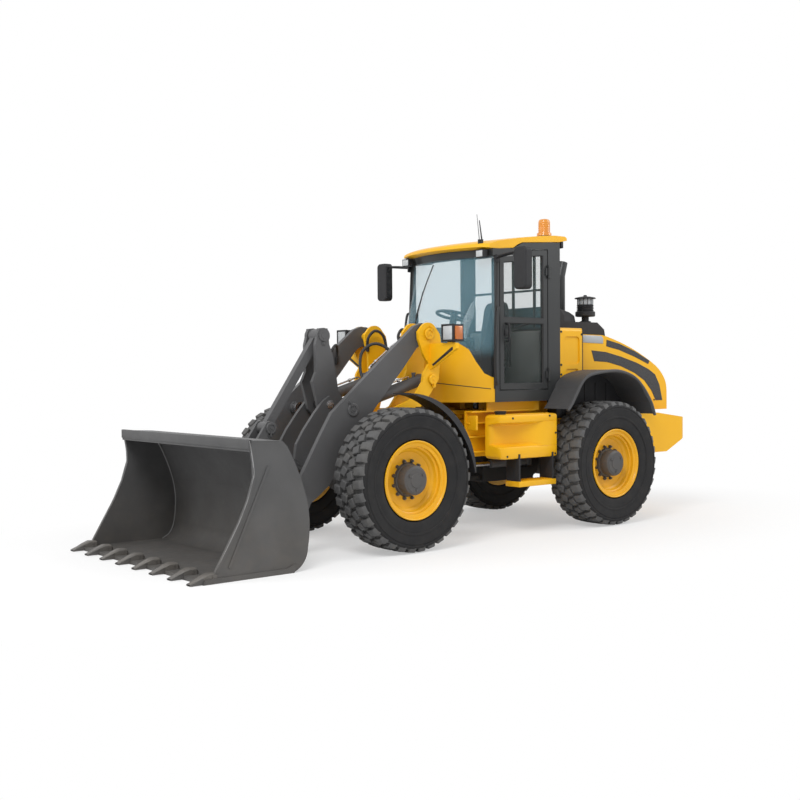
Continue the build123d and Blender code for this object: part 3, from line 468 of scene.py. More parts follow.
# the dish and hub are (radius, depth under the outer face), the back is (radius, depth from the inner face)
rimSet = {"bolts": 12, "boltCircle": 0.178, "boltRadius": 0.014, "capBolts": 3, "capCircle": 0.092, "steps": 72,
          "valve": (0.21, -0.205), "back": ((0.303, 0), (0.372, 0), (0.372, 0.02), (0.317, 0.03)),
          "dish": ((0.317, 0.03), (0.352, 0.026), (0.366, 0.018), (0.372, 0.01), (0.371, 0.002), (0.366, -0.001),
                   (0.36, 0.001), (0.354, 0.008), (0.346, 0.026), (0.338, 0.052), (0.332, 0.06), (0.31, 0.064),
                   (0.3, 0.07), (0.293, 0.098), (0.284, 0.108), (0.272, 0.114), (0.262, 0.128), (0.205, 0.138),
                   (0.14, 0.138), (0.14, 0.155), (0.262, 0.155), (0.285, 0.14)),
          "hub": ((0.2, 0.156), (0.159, 0.136), (0.152, 0.118), (0.143, 0.112), (0.14, 0.03), (0.134, 0.016),
                  (0.118, 0.008), (0.112, 0.004), (0.07, 0.003), (0.066, -0.002), (0.0, -0.002))}


def makeTyre(end, side):
    node = "tyre_" + end + "_" + side
    low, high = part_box(node)
    centre = (low + high) / 2
    radius = (high.z - low.z) / 2 - 0.001
    floor = radius - tyreSet["depth"]
    bm = bmesh.new()
    arc = list(tyreSet["wall"]) + [(floor, 0.18), (floor + 0.002, 0.09)]
    profile = arc + [(r, -d) for r, d in reversed(arc)]
    turned(bm, profile + [profile[0]], centre, (0, 1, 0), 120)
    lugs = []
    step = 2 * pi / tyreSet["pitches"]
    run = tyreSet["run"]
    top = sqrt(radius ** 2 - (run * 0.52) ** 2)
    for k in range(tyreSet["pitches"]):
        for hand in (-1, 1):
            for (near, far), lead, skew in ((tyreSet["shoulder"], 0, 0.35), (tyreSet["crown"], 0.42, 1.0)):
                turn = step * (k + (0.5 if hand > 0 else 0) + lead * hand)
                verts = boxIn(bm, (-run / 2, hand * near, floor - 0.02), (run / 2, hand * far, top))
                for v in verts:
                    if abs(v.co.y) > 0.19:
                        drop, wide = tyreSet["lugTop"]
                        v.co.z, wide = (top - drop, wide) if v.co.z > floor else tyreSet["lugFoot"]
                        v.co.y = hand * wide
                    if v.co.z > floor:
                        v.co.x *= tyreSet["narrow"]
                middle = Vector((0, hand * (near + far) / 2, 0))
                lean = Matrix.Rotation(radians(tyreSet["skew"] * skew * hand), 4, "Z")
                lean = Matrix.Translation(middle) @ lean @ Matrix.Translation(-middle)
                spin = Matrix.Translation(centre) @ Matrix.Rotation(turn, 4, "Y")
                bmesh.ops.transform(bm, matrix=spin @ lean, verts=verts)
                lugs += verts
    soften(bm, tyreSet["bevel"], 1, lugs)
    for f in bm.faces:
        flat = f.calc_center_median() - centre
        f.material_index = int(Vector((flat.x, flat.z)).length > tyreSet["treadLine"])
    finishPiece("treadTyre_" + end + "_" + side, bm, "wheel_" + end + "_" + side, sideRubber, treadRubber, sharp=38,
                replaces=(node,), slot=node)


def makeRim(end, side):
    node = "rim_" + end + "_" + side
    low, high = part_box(node)
    centre = (low + high) / 2
    out = 1 if side == "left" else -1
    axis = (0, out, 0)
    half = (high.y - low.y) / 2
    body = "wheel_" + end + "_" + side
    bm = bmesh.new()
    ring = [(r, d - half) for r, d in rimSet["back"]]
    ring += [(r, half - d) for r, d in rimSet["dish"]] + ring[:1]
    turned(bm, ring, centre, axis, rimSet["steps"])
    x, z = rimSet["valve"]
    valve = centre + Vector((x * out, 0, z)) + Vector(axis) * (half - 0.1)
    rodIn(bm, valve - Vector(axis) * 0.03, valve, 0.012, 12)
    finishPiece("steppedRim_" + end + "_" + side, bm, body, coats["rimYellow"], replaces=(node,), slot=node)
    bm = bmesh.new()
    hub = [(0.0605, -0.03), (0.2, -0.03)] + [(r, half - d) for r, d in rimSet["hub"]]
    turned(bm, hub, centre, axis, 48)
    for k in range(rimSet["bolts"]):
        turn = 2 * pi * (k + 0.5) / rimSet["bolts"]
        spoke = Vector((cos(turn), 0, sin(turn))) * rimSet["boltCircle"]
        foot = centre + spoke + Vector(axis) * (half - 0.140)
        rodIn(bm, foot, foot + Vector(axis) * 0.022, rimSet["boltRadius"] * 1.25, 6)
        rodIn(bm, foot + Vector(axis) * 0.02, foot + Vector(axis) * 0.036, rimSet["boltRadius"] * 0.7, 10)
    for k in range(rimSet["capBolts"]):
        turn = 2 * pi * k / rimSet["capBolts"] + 0.5
        foot = centre + Vector((cos(turn), 0, sin(turn))) * rimSet["capCircle"] + Vector(axis) * (half - 0.006)
        rodIn(bm, foot, foot + Vector(axis) * 0.011, 0.013, 6)
    finishPiece("planetHub_" + end + "_" + side, bm, body, coats["hubGrey"], slot=node)


for end in ("front", "rear"):
    for side in ("left", "right"):
        makeTyre(end, side)
        makeRim(end, side)
print("wheels made")

# bucket
bucketSet = {"teeth": 8, "spread": 1149, "half": 1190, "bead": 6,
             "sections": ((3540, 46, 32, 58), (3566, 88, 30, 84), (3630, 86, 3, 88), (3690, 74, 3, 66),
                          (3752, 64, 3, 36), (3797, 52, 3, 13)),
             "back": ((3600, 28), (3200, 28), (2850, 28), (2768, 66), (2713, 206), (2695, 426), (2727, 632),
                      (2806, 848), (2908, 1050), (2947, 1088), (3230, 1104)),
             "bars": ((9, ((3690, 0), (3672, 44), (2900, 44), (2835, 72), (2800, 62), (2830, 0))),
                      (7, ((3060, 905), (3082, 915), (3462, 118), (3440, 108))),
                      (5, ((3575, 90), (3356, 460), (3271, 640), (3213, 822), (3192, 816), (3251, 630), (3336, 450),
                           (3552, 80))))}
bm = bmesh.new()
for k in range(bucketSet["teeth"]):
    y = -bucketSet["spread"] + 2 * bucketSet["spread"] * k / (bucketSet["teeth"] - 1)
    rings = []
    for x, wide, low, high in bucketSet["sections"]:
        w = wide / 2
        c = min(w, high - low) * 0.3
        section = ((-w, low), (w, low), (w, high - c), (w - c, high), (-w + c, high), (-w, high - c))
        rings.append([at(x, y + a, b) for a, b in section])
    skin(bm, rings)
    for lift in (44, 62):
        rodIn(bm, at(3600, y - 48, lift), at(3600, y + 48, lift), 0.008, 12)
finishPiece("toothAdaptors", bm, "bucket", coats["toothGrey"], slot="bucket")
bm = bmesh.new()
half = bucketSet["half"]
for proud, bar in bucketSet["bars"]:
    bothPlates(bm, bar, half, half + proud)
block(bm, (3228, -half, 1056), (3262, half, 1138), 6)
block(bm, (3236, -half + 4, 1036), (3254, half - 4, 1060), 4)
finishPiece("wearBars", bm, "bucket", coats["bucketGrey"], slot="bucket")
bm = bmesh.new()
bothTubes(bm, [(x, half - 31, z) for x, z in bucketSet["back"]], bucketSet["bead"] / 1000, 8, 4)
finishPiece("weldBeads", bm, "bucket", coats["bucketGrey"], slot="bucket")
bm = bmesh.new()
for y in (-720, -240, 240, 720):
    block(bm, (2840, y - 60, -4), (3480, y + 60, 6), 3)
bothPlates(bm, [(2672, 426), (2702, 640), (2782, 858), (2762, 866), (2680, 644), (2650, 426), (2668, 200), (2690, 202)],
           760, 800)
finishPiece("heelPads", bm, "bucket", coats["bucketGrey"], slot="bucket")
print("bucket dressed")

# linkage pins, bosses and stops; places are (x, z)
pins = {"tower": (800, 2056), "towerEye": (688, 1924), "liftBase": (756, 1603), "liftEye": (1707, 1325),
        "tiltBase": (600, 2016), "tiltEye": (1516, 1330), "crankTop": (1748, 2040), "crankBolts": (1752, 2040),
        "crank": (1716, 1370), "link": (2354, 1159), "bucket": (2322, 489)}
bm = bmesh.new()
for hand in (-1, 1):
    pinCap(bm, hand, pins["tower"], 582, 58, (-30, 62))
    pinCap(bm, hand, pins["liftBase"], 582, 52, (-10, -62))
    sideRod(bm, hand, pins["towerEye"], 569, 574, 0.058, 40)
finishPiece("towerKeepers", bm, "front_frame", coats["loaderYellow"], slot="front_frame")
bm = bmesh.new()
for hand in (-1, 1):
    pinCap(bm, hand, pins["liftEye"], 525, 64, (34, 70))
    pinCap(bm, hand, pins["bucket"], 525, 70, (34, 70))
    sideRod(bm, hand, pins["liftEye"], 440, 480, 0.062, 28)
    block(bm, (1240, hand * 474 - 5, 1650), (1268, hand * 474 + 5, 1700), 2)
finishPiece("armBosses", bm, "boom", coats["armGrey"], slot="boom")
bm = bmesh.new()
for hand in (-1, 1):
    # low caps and bolts, which pass the boom's ribs with the bucket raised and dumped
    sideRod(bm, hand, pins["crankTop"], 107, 119, 0.058, 40)
    sideRod(bm, hand, pins["crankTop"], 118, 123, 0.03, 32)
    x, z = pins["crankBolts"]
    for drop in (45, 72):
        sideRod(bm, hand, (x, z - drop), 108, 116, 0.024, 20)
        bolt(bm, at(x, hand * 115, z - drop), (0, hand, 0), 0.013, 0.008)
    sideRod(bm, hand, pins["crank"], 108, 115, 0.07, 40)
finishPiece("crankKeepers", bm, "bellcrank", coats["armGrey"], slot="bellcrank")
bm = bmesh.new()
for hand in (-1, 1):
    pinCap(bm, hand, pins["link"], 102, 56, (10, -66))
    for y in (421, 546):
        sideRod(bm, hand, pins["bucket"], y, y + 36, 0.082, 36)
finishPiece("couplerKeepers", bm, "bucket", coats["armGrey"], slot="coupler")
print("pins capped")


# cylinders: gland nuts and ports, along the line from the base pin to the rod's eye
def cylinderLine(kind, y):
    (x0, z0), (x1, z1) = pins[kind + "Base"], pins[kind + "Eye"]
    foot = at(x0, y, z0)
    return foot, (at(x1, y, z1) - foot).normalized()


def gland(name, body, kind, y, length, radius):
    foot, run = cylinderLine(kind, y)
    r = radius / 1000
    bm = bmesh.new()
    bore = r * 0.6
    for a, b, k in ((length - 78, length - 52, 1.12), (length - 46, length + 4, 1.06), (length + 4, length + 14, 0.86)):
        wide, deep, edge = r * k, (b - a) / 1000, 0.003
        turned(bm, [(bore, 0), (wide - edge, 0), (wide, edge), (wide, deep - edge), (wide - edge, deep), (bore, deep),
                    (bore, 0)], foot + run * (a / 1000), run, 36)
    for a in (110, length - 120):
        place = foot + run * (a / 1000) + Vector((0, 0, r * 0.9))
        rodIn(bm, place, place + Vector((0, 0, 0.045)), 0.017, 14)
        rodIn(bm, place + Vector((0, 0, 0.028)), place + Vector((0, 0, 0.05)), 0.022, 6)
    finishPiece(name, bm, body, coats["armGrey"], slot=body)


liftSide = 405
gland("tiltGland", "tilt_barrel", "tilt", 0, 700, 52)
for hand, side in ((-1, "right"), (1, "left")):
    gland("liftGland_" + side, "lift_barrels", "lift", hand * liftSide, 800, 58)


# hoses with a fitting at each end; one across two bodies is baked in place and rides neither
def hose(name, bodies, points, radius, span=None):
    bm = bmesh.new()
    line = [at(*p) for p in points]
    tube(bm, line, radius / 1000, 12, 10)
    for tip, inner in ((line[0], line[1]), (line[-1], line[-2])):
        run = (inner - tip).normalized()
        rodIn(bm, tip - run * 0.004, tip + run * 0.034, radius / 1000 * 1.35, 6)
        rodIn(bm, tip + run * 0.03, tip + run * 0.07, radius / 1000 * 1.2, 16)
    piece = finishPiece(name, bm, bodies[0] if len(bodies) == 1 else None, hoseRubber, slot=bodies[0])
    if len(bodies) > 1:
        at(*span[0])
        at(*span[1])
        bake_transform(piece)


hoseRuns = {"towerHose_": ("front_frame", ((720, 190, 1755), (730, 190, 1900), (770, 200, 2060), (860, 225, 2110),
                                           (930, 250, 2030), (905, 296, 1905))),
            "crankHose_": ("boom", ((1180, 470, 1770), (1200, 430, 1900), (1290, 330, 1960), (1400, 270, 1880),
                                    (1470, 330, 1700), (1500, 470, 1520)))}
for hand, side in ((-1, "right"), (1, "left")):
    for name, (body, points) in hoseRuns.items():
        hose(name + side, [body], [(x, hand * y, z) for x, y, z in points], 15)
print("hoses run")

# hood: inserts, badge plates and the rear grille
hoodSet = {"half": 620, "sunk": 6, "insertProud": 4, "badgeProud": 6, "slats": 9, "slatPitch": 34,
           "slatFoot": (-2900, 1280), "kink": 1300, "slope": 0.172, "grille": 430,
           "upper": [(-1813, 2030), (-2040, 1985), (-2310, 1902), (-2577, 1792), (-2552, 1752), (-2300, 1838),
                     (-2030, 1914), (-1806, 1955)],
           "lower": [(-1555, 1908), (-1800, 1890), (-2065, 1838), (-2350, 1766), (-2560, 1692), (-2680, 1630),
                     (-2760, 1510), (-2815, 1322), (-2690, 1322), (-2610, 1440), (-2480, 1560), (-2300, 1650),
                     (-2060, 1728), (-1820, 1776), (-1600, 1786)],
           "badge": [(-1390, 2078), (-1722, 2072), (-1752, 2040), (-1748, 1985), (-1392, 1994), (-1384, 2010)]}
bm = bmesh.new()
for key in ("upper", "lower"):
    bothPlates(bm, hoodSet[key], hoodSet["half"] - hoodSet["sunk"], hoodSet["half"] + hoodSet["insertProud"])
soften(bm, 0.0025, 1)
finishPiece("hoodInserts", bm, "hood", guardMesh, slot="hood_cover")
bm = bmesh.new()
bothPlates(bm, hoodSet["badge"], hoodSet["half"] - hoodSet["sunk"], hoodSet["half"] + hoodSet["badgeProud"])
soften(bm, 0.003, 2)
finishPiece("badgePlates", bm, "hood", coats["badgeGrey"], slot="hood")
bm = bmesh.new()
for k in range(hoodSet["slats"]):
    z = hoodSet["slatFoot"][1] + k * hoodSet["slatPitch"]
    x = hoodSet["slatFoot"][0] + max(0, z - hoodSet["kink"]) * hoodSet["slope"]
    block(bm, (x - 9, -hoodSet["grille"], z), (x + 8, hoodSet["grille"], z + 18), 3)
for hand in (-1, 1):
    sideBlock(bm, hand, (-2907, hoodSet["grille"], 1262), (-2880, hoodSet["grille"] + 22, 1600), 4)
finishPiece("rearGrille", bm, "hood", coats["mouldBlack"], slot="hood_cover")
print("hood dressed")

# lamps and mirrors
bezelBars = (((800, 790, 2128), (824, 956, 2143)), ((800, 790, 1973), (824, 956, 1988)),
             ((800, 786, 1973), (824, 804, 2143)), ((800, 944, 1973), (824, 960, 2143)))
bracketSlot = [(604, 1752), (622, 1738), (914, 1893), (914, 1922), (896, 1918)]


def lampPiece(name, body, look, slot, y, *blocks):
    # blocks are the low and high corner about y, and a bevel
    bm = bmesh.new()
    for low, high, bevel in blocks:
        block(bm, (low[0], y + low[1], low[2]), (high[0], y + high[1], high[2]), bevel)
    finishPiece(name, bm, body, look, slot=slot)


for hand, side in ((1, "left"), (-1, "right")):
    head, top = "head_lamp_" + side, "roof_lamp_" + side
    lampPiece("headGlass_" + side, "front_frame", white, head, hand * 880, ((806, -74, 1990), (818, 62, 2126), 5))
    lampPiece("turnGlass_" + side, "front_frame", amber, head, hand * 962, ((704, -12, 1992), (798, 12, 2124), 8))
    bm = bmesh.new()
    for low, high in bezelBars:
        sideBlock(bm, hand, low, high, 4)
    rodIn(bm, at(760, hand * 870, 1955), at(760, hand * 870, 1990), 0.022, 16)
    outline(bm, [at(783, hand * y, z) for y, z in bracketSlot], Vector((0.005, 0, 0)))
    finishPiece("lampBezel_" + side, bm, "front_frame", coats["mouldBlack"], slot=head)
    lampPiece("roofLampGlass_" + side, "rear_frame", white, top, hand * 600, ((132, -46, 2858), (140, 46, 2922), 4))
    lampPiece("rearWorkLamp_" + side, "rear_frame", coats["mouldBlack"], top, hand * 560,
              ((-1106, -60, 3020), (-1062, 60, 3096), 8), ((-1090, -14, 3092), (-1070, 14, 3124), 3))
    lampPiece("rearWorkGlass_" + side, "rear_frame", white, top, hand * 560, ((-1111, -48, 3030), (-1104, 48, 3086), 3))
    lampPiece("mirrorGlass_" + side, "rear_frame", mirrorFace, "mirror_" + side, hand * 1115,
              ((-25, -69, 2518), (-17, 69, 2905), 4))
    lampPiece("tailGlass_" + side, "rear_frame", red, "counterweight", hand * 670,
              ((-2946, -110, 950), (-2930, 110, 1040), 6))

# beacon: a lens with rings under a domed top, on a black foot
beacon = {"place": at(-980, 450, 3150), "rings": 6, "pitch": 0.02, "steps": 40,
          "base": [(0.0, -0.002), (0.081, -0.002), (0.082, 0.03), (0.078, 0.044), (0.0, 0.044)],
          "ring": [(0.0, -0.006), (0.064, -0.006), (0.066, 0.004), (0.066, 0.01), (0.064, 0.014), (0.0, 0.014)],
          "dome": [(0.0, 0.16), (0.064, 0.16), (0.062, 0.176), (0.052, 0.19), (0.03, 0.197), (0.0, 0.199)],
          "foot": [(0.0, -0.004), (0.09, -0.004), (0.09, 0.006), (0.084, 0.01), (0.0, 0.01)]}
rows = [[(r, d + 0.05 + k * beacon["pitch"]) for r, d in beacon["ring"]] for k in range(beacon["rings"])]
bm = bmesh.new()
for profile in [beacon["base"]] + rows + [beacon["dome"]]:
    turned(bm, profile, beacon["place"], (0, 0, 1), beacon["steps"])
finishPiece("beaconHead", bm, "rear_frame", beaconAmber, replaces=("beacon",), slot="beacon")
bm = bmesh.new()
turned(bm, beacon["foot"], beacon["place"], (0, 0, 1), beacon["steps"])
finishPiece("beaconFoot", bm, "rear_frame", coats["mouldBlack"], slot="beacon")
bm = bmesh.new()
for x, y, top, thick in ((96, 560, 3300, 0.004), (84, 584, 3236, 0.008)):
    rodIn(bm, at(x, y, 2990), at(x, y, 3040), 0.016, 16)
    rodIn(bm, at(x, y, 3040), at(x + 10, y - 24, top), thick, 10, 0.6)
finishPiece("antennas", bm, "rear_frame", coats["mouldBlack"], slot="roof_lamp_left")
print("lamps fitted")

# cab: roof, wiper, header band, seals, door handle, rails, rear guard and mirror arms
cabSet = {"arc": (-277.5, 747.5), "topArc": (-1208, 1338), "belt": 1990, "top": 2870}


def glassFront(share, angle):
    # a point on the front pane: share 0 at the belt, 1 at the top; angle 0 straight ahead
    x0, r0 = cabSet["arc"]
    x1, r1 = cabSet["topArc"]
    y = r0 * sin(radians(angle))
    low = Vector((x0 + r0 * cos(radians(angle)), y, cabSet["belt"]))
    half = min(abs(y) / r1, 0.99)
    high = Vector((x1 + r1 * sqrt(1 - half ** 2), y, cabSet["top"]))
    return low.lerp(high, share)


roof = {"half": 690, "setBack": 140, "lead": (300, 525), "steps": 32, "crown": {"under": -6, "over": 12},
        "under": [(-1080, 3088), (-960, 3066), (-395, 3026), (-330, 3000), (-255, 2962), (40, 2941), (190, 2941)],
        "over": [(222, 2962), (222, 2976), (206, 2996), (150, 3014), (60, 3036), (-400, 3094), (-700, 3130),
                 (-900, 3149), (-1050, 3149), (-1078, 3136), (-1084, 3112)]}
bm = bmesh.new()
rings = []
for step in range(roof["steps"] + 1):
    y = -cos(pi * step / roof["steps"]) * roof["half"]
    edge = abs(y) / roof["half"]
    back = roof["setBack"] * edge ** 2
    ring = []
    for key in ("under", "over"):
        for x, z in roof[key]:
            share = min(1, max(0, (x + roof["lead"][0]) / roof["lead"][1]))
            ring.append(at(x - back * share, y, z - roof["crown"][key] * edge ** 8))
    rings.append(ring)
skin(bm, rings)
finishPiece("smoothRoof", bm, "rear_frame", coats["loaderYellow"], sharp=40, replaces=("cab_roof",), slot="cab_roof")
bm = bmesh.new()
for off, steps, line in ((14, 4, [(t, -8 - 6 * t) for t in (0.0, 0.2, 0.45, 0.62)]),
                         (9, 6, [(0.3, -12), (0.5, -12), (0.7, -11), (0.95, -8)])):
    tube(bm, [at(*(glassFront(t, turn) + Vector((off, 0, 0)))) for t, turn in line], 0.006, 8, steps)
foot = at(*glassFront(0.02, -8))
rodIn(bm, foot - Vector((0.004, 0, 0)), foot + Vector((0.022, 0, 0)), 0.026, 20)
finishPiece("frontWiper", bm, "rear_frame", coats["mouldBlack"], slot="cab_frame")
band = {"half": 689.5, "sweep": 64, "step": 8}
bm = bmesh.new()
rings = []
for angle in range(-band["sweep"], band["sweep"] + 1, band["step"]):
    y = band["half"] * sin(radians(angle)) / sin(radians(band["sweep"]))
    x = cabSet["topArc"][0] + sqrt(cabSet["topArc"][1] ** 2 - y ** 2)
    rings.append([at(x - 6, y, 2866), at(x + 16, y, 2866), at(x + 30, y, 2944), at(x - 6, y, 2944)])
skin(bm, rings)
finishPiece("headerBand", bm, "rear_frame", coats["frameGrey"], slot="cab_frame")
bm = bmesh.new()
bothTubes(bm, [(12, 694, 1500), (12, 694, 1990), (-10, 694, 2450), (-32, 694, 2868)], 0.012)
finishPiece("pillarSeals", bm, "rear_frame", hoseRubber, slot="cab_frame")
doorFrames = {"upper": [(-117, 2236), (-117, 2812), (-276, 2830), (-416, 2890), (-704, 2912), (-704, 2236)],
              "lower": [(-117, 1545), (-117, 2186), (-704, 2186), (-704, 1545)]}
bm = bmesh.new()
for points in doorFrames.values():
    for a, b in zip(points, points[1:] + points[:1]):
        rodIn(bm, at(a[0], 684, a[1]), at(b[0], 684, b[1]), 0.011, 10)
finishPiece("doorSeals", bm, "door", hoseRubber, slot="door")
bm = bmesh.new()
tube(bm, [at(-150, y, z) for y, z in ((698, 1990), (738, 2000), (742, 2080), (738, 2160), (698, 2170))], 0.011)
block(bm, (-176, 694, 2050), (-124, 706, 2110), 4)
tube(bm, [at(-140, 640, 2080), at(-300, 610, 2110), at(-560, 610, 2190), at(-690, 640, 2220)], 0.012)
finishPiece("doorHandle", bm, "door", coats["mouldBlack"], slot="door")
bm = bmesh.new()
bothTubes(bm, [(-20, 702, 1560), (30, 742, 1580), (40, 748, 1900), (5, 742, 2300), (-30, 702, 2320)], 0.014, 10, 8)
finishPiece("grabRails", bm, "rear_frame", coats["frameGrey"], slot="cab_frame")
bm = bmesh.new()
for y in (-330, 0, 330):
    block(bm, (-958, y - 16, 2160), (-936, y + 16, 2985), 4)
block(bm, (-962, -640, 2560), (-940, 640, 2584), 4)
finishPiece("rearGuard", bm, "rear_frame", coats["frameGrey"], slot="cab_frame")
bm = bmesh.new()
bothTubes(bm, [(-14, 690, 2836), (10, 780, 2862), (26, 980, 2880), (28, 1096, 2872), (28, 1112, 2820)], 0.011)
for hand in (-1, 1):
    block(bm, (-44, hand * 704 - 10, 2800), (14, hand * 704 + 10, 2862), 4)
finishPiece("mirrorArms", bm, "rear_frame", coats["mouldBlack"], slot="mirror_left")

# inside the cab: dash, side panel, console, levers and pedals
inside = {"dashTop": 1905, "inset": 64, "panelTop": 2180}
bm = bmesh.new()
rings = []
for z, draw in ((1380, 0), (1600, 0), (1840, 0), (1892, 12), (inside["dashTop"], 40)):
    sweep = cabSet["arc"][1] - inside["inset"] - draw
    front = [at(cabSet["arc"][0] + sweep * cos(radians(a)), sweep * sin(radians(a)), z) for a in range(-60, 61, 10)]
    rings.append(front + [at(30 + draw, 520, z), at(30 + draw, -520, z)])
skin(bm, rings)
block(bm, (20, -150, 1880), (190, 150, 2010), 24, 3)
bothPlates(bm, [(-46, 1380), (110, 1380), (128, 1900), (96, 2000), (-6, 2330), (-46, 2330)], 596, 622)
finishPiece("dashPanel", bm, "rear_frame", coats["mouldBlack"], slot="cab_frame")
bm = bmesh.new()
top = inside["panelTop"]
sidePlate(bm, [(-765, 1380), (-60, 1380), (-60, 2120), (-110, top), (-765, top)], -628, -596)
block(bm, (-700, -598, 1640), (-180, -560, 2080), 20, 3)
block(bm, (-700, -500, 1400), (-360, -350, 1900), 26, 3)
block(bm, (-640, -476, 1896), (-330, -372, 1946), 18, 3)
block(bm, (-900, -560, 1380), (-780, 560, 2120), 24, 3)
finishPiece("cabLining", bm, "rear_frame", coats["liningGrey"], slot="cab_frame")
bm = bmesh.new()
for x, lean in ((-390, 18), (-450, 10)):
    rodIn(bm, at(x, -424, 1940), at(x + lean, -424, 2040), 0.009, 12)
    knob = [(0.0, 0.0), (0.02, 0.004), (0.026, 0.03), (0.022, 0.07), (0.0, 0.082)]
    turned(bm, knob, at(x + lean, -424, 2036), (0, 0, 1), 20)
    turned(bm, [(0.034, 0.0), (0.026, 0.02), (0.014, 0.04), (0.0, 0.04)], at(x, -424, 1944), (0, 0, 1), 20)
for y in (-170, 110, 230):
    sidePlate(bm, [(-40, 1420), (-30, 1412), (46, 1500), (36, 1508)], y - 40, y + 40)
    rodIn(bm, at(30, y, 1490), at(70, y, 1560), 0.012, 10)
finishPiece("cabControls", bm, "rear_frame", hoseRubber, slot="steering_column")
bm = bmesh.new()
bothPlates(bm, [(-720, 1262), (40, 1262), (40, 1360), (-720, 1360)], 590, 606)
finishPiece("cabSills", bm, "rear_frame", coats["loaderYellow"], slot="rear_frame")
print("cab trimmed")

# side tanks: two ledges with a scoop between, open to the front, and a full end plate behind
tank = {"inner": 690, "outer": 918, "top": 1236, "bottom": 782, "upper": 1156, "lower": 905,
        "scoop": ((150, 150, 46), (128, 150, 14), (90, 148, 0), (-60, 132, 0), (-170, 112, 0), (-330, 52, 0),
                  (-470, 0, 0), (-640, 0, 0), (-676, 0, 8), (-690, 0, 30))}
for hand, side in ((1, "left"), (-1, "right")):
    bm = bmesh.new()
    rings = []
    for x, deep, draw in tank["scoop"]:
        out, inner = tank["outer"] - draw, tank["inner"]
        high, low = tank["top"] - draw * 0.7, tank["bottom"] + draw * 0.7
        upper, lower, fillet = tank["upper"], tank["lower"], min(26, deep)
        section = [(inner, high), (out - 22, high), (out - 6, high - 6), (out, high - 22), (out, upper + 8),
                   (out - 4, upper), (out - deep, upper - fillet), (out - deep, lower + fillet), (out - 4, lower),
                   (out, lower - 8), (out, low + 22), (out - 6, low + 6), (out - 22, low), (inner, low)]
        rings.append([at(x, hand * y, z) for y, z in section])
    skin(bm, rings)
    node = "tank_" + side
    finishPiece("scoopTank_" + side, bm, "rear_frame", coats["loaderYellow"], sharp=35, replaces=(node,), slot=node)
    bm = bmesh.new()
    sidePlate(bm, [(-660, 800), (290, 800), (290, 1274), (-660, 1274)], hand * 530, hand * 548)
    for z, reach in ((1258, 640), (1140, 596), (1000, 596), (846, 610)):
        sideBlock(bm, hand, (-640, 546, z), (286, reach, z + 14), 3)
    for x in (250, -250, -600):
        sideBlock(bm, hand, (x, 546, 1080), (x + 26, 690, 1230), 4)
    finishPiece("tankBracket_" + side, bm, "rear_frame", coats["loaderYellow"], slot=node)
print("tanks made")

# side steps: straps and treads
stepSet = {"straps": (-110, -600), "ribs": 13, "firstRib": -600, "pitch": 38}
bm = bmesh.new()
treads = bmesh.new()
for hand in (-1, 1):
    for x in stepSet["straps"]:
        sideBlock(bm, hand, (x - 12, 742, 500), (x + 12, 926, 830), 3)
    sideBlock(treads, hand, (-640, 733, 492), (-92, 934, 549), 5)
    for k in range(stepSet["ribs"]):
        x = stepSet["firstRib"] + k * stepSet["pitch"]
        sideBlock(treads, hand, (x, 743, 547), (x + 14, 924, 554), 1, 1)
finishPiece("stepStraps", bm, "rear_frame", coats["mouldBlack"], slot="tank_left")
finishPiece("stepTreads", treads, "rear_frame", coats["loaderYellow"], slot="tank_left")
bm = bmesh.new()
for hand in (-1, 1):
    for x, z in ((-560, 1212), (-650, 1030), (-640, 812), (60, 812), (-20, 1200)):
        bolt(bm, at(x, hand * (tank["outer"] - 1), z), (0, hand, 0), 0.011, 0.008)
    rodIn(bm, at(20, hand * 780, 1234), at(20, hand * 780, 1262), 0.055, 28)
    rodIn(bm, at(20, hand * 780, 1258), at(20, hand * 780, 1272), 0.062, 28)
finishPiece("tankFittings", bm, "rear_frame", coats["mouldBlack"], slot="tank_left")
print("steps made")

# rear fenders: rolled lips
bm = bmesh.new()
wheelAt = (1407.5, 675)  # axle from the steering joint, and its height
arch = [(707.5, 604), (650, 665), (545, 815), (440, 935), (300, 985), (0, 1015), (-190, 1000), (-380, 937), (-530, 820),
        (-660, 660), (-727.5, 515)]
bothTubes(bm, [(x - wheelAt[0], 1046, z + wheelAt[1] - 14) for x, z in arch], 0.017, 10, 4)
finishPiece("rearFenderLips", bm, "rear_frame", coats["fenderGrey"], slot="rear_fender_left")

# front fenders: leaves with a deep outer flange, thin at the tip
leaf = {"sweep": (178, 90), "radius": 0.781, "rise": 0.03, "flange": 0.064, "lip": 0.012, "inner": 0.73, "outer": 1.09,
        "taper": 0.06, "steps": 28, "strut": (959.8, 1314.3)}
for hand, side in ((1, "left"), (-1, "right")):
    node, outer = "front_fender_" + side, leaf["outer"]
    hub = at(wheelAt[0], 0, wheelAt[1])
    bm = bmesh.new()
    rings = []
    for step in range(leaf["steps"] + 1):
        share = step / leaf["steps"]
        turn = radians(leaf["sweep"][0] - leaf["sweep"][1] * share)
        top = leaf["radius"] + leaf["rise"] * share ** 3
        drop = leaf["lip"] + leaf["flange"] * sin(pi * min(1, 0.08 + 0.92 * share)) ** 0.8
        near = leaf["inner"] + leaf["taper"] * share ** 5
        section = [(top - 0.004, near), (top + 0.002, (near + outer) / 2), (top - 0.002, outer - 0.03),
                   (top - 0.01, outer - 0.008), (top - drop, outer), (top - drop, outer - 0.012),
                   (top - 0.02, outer - 0.022), (top - 0.014, near)]
        rings.append([hub + Vector((r * cos(turn), hand * y, r * sin(turn))) for r, y in section])
    skin(bm, rings)
    sideRod(bm, hand, leaf["strut"], 535, 800, 0.022, 20)
    finishPiece("leafFender_" + side, bm, "front_frame", coats["mouldBlack"], sharp=40, replaces=(node,), slot=node)

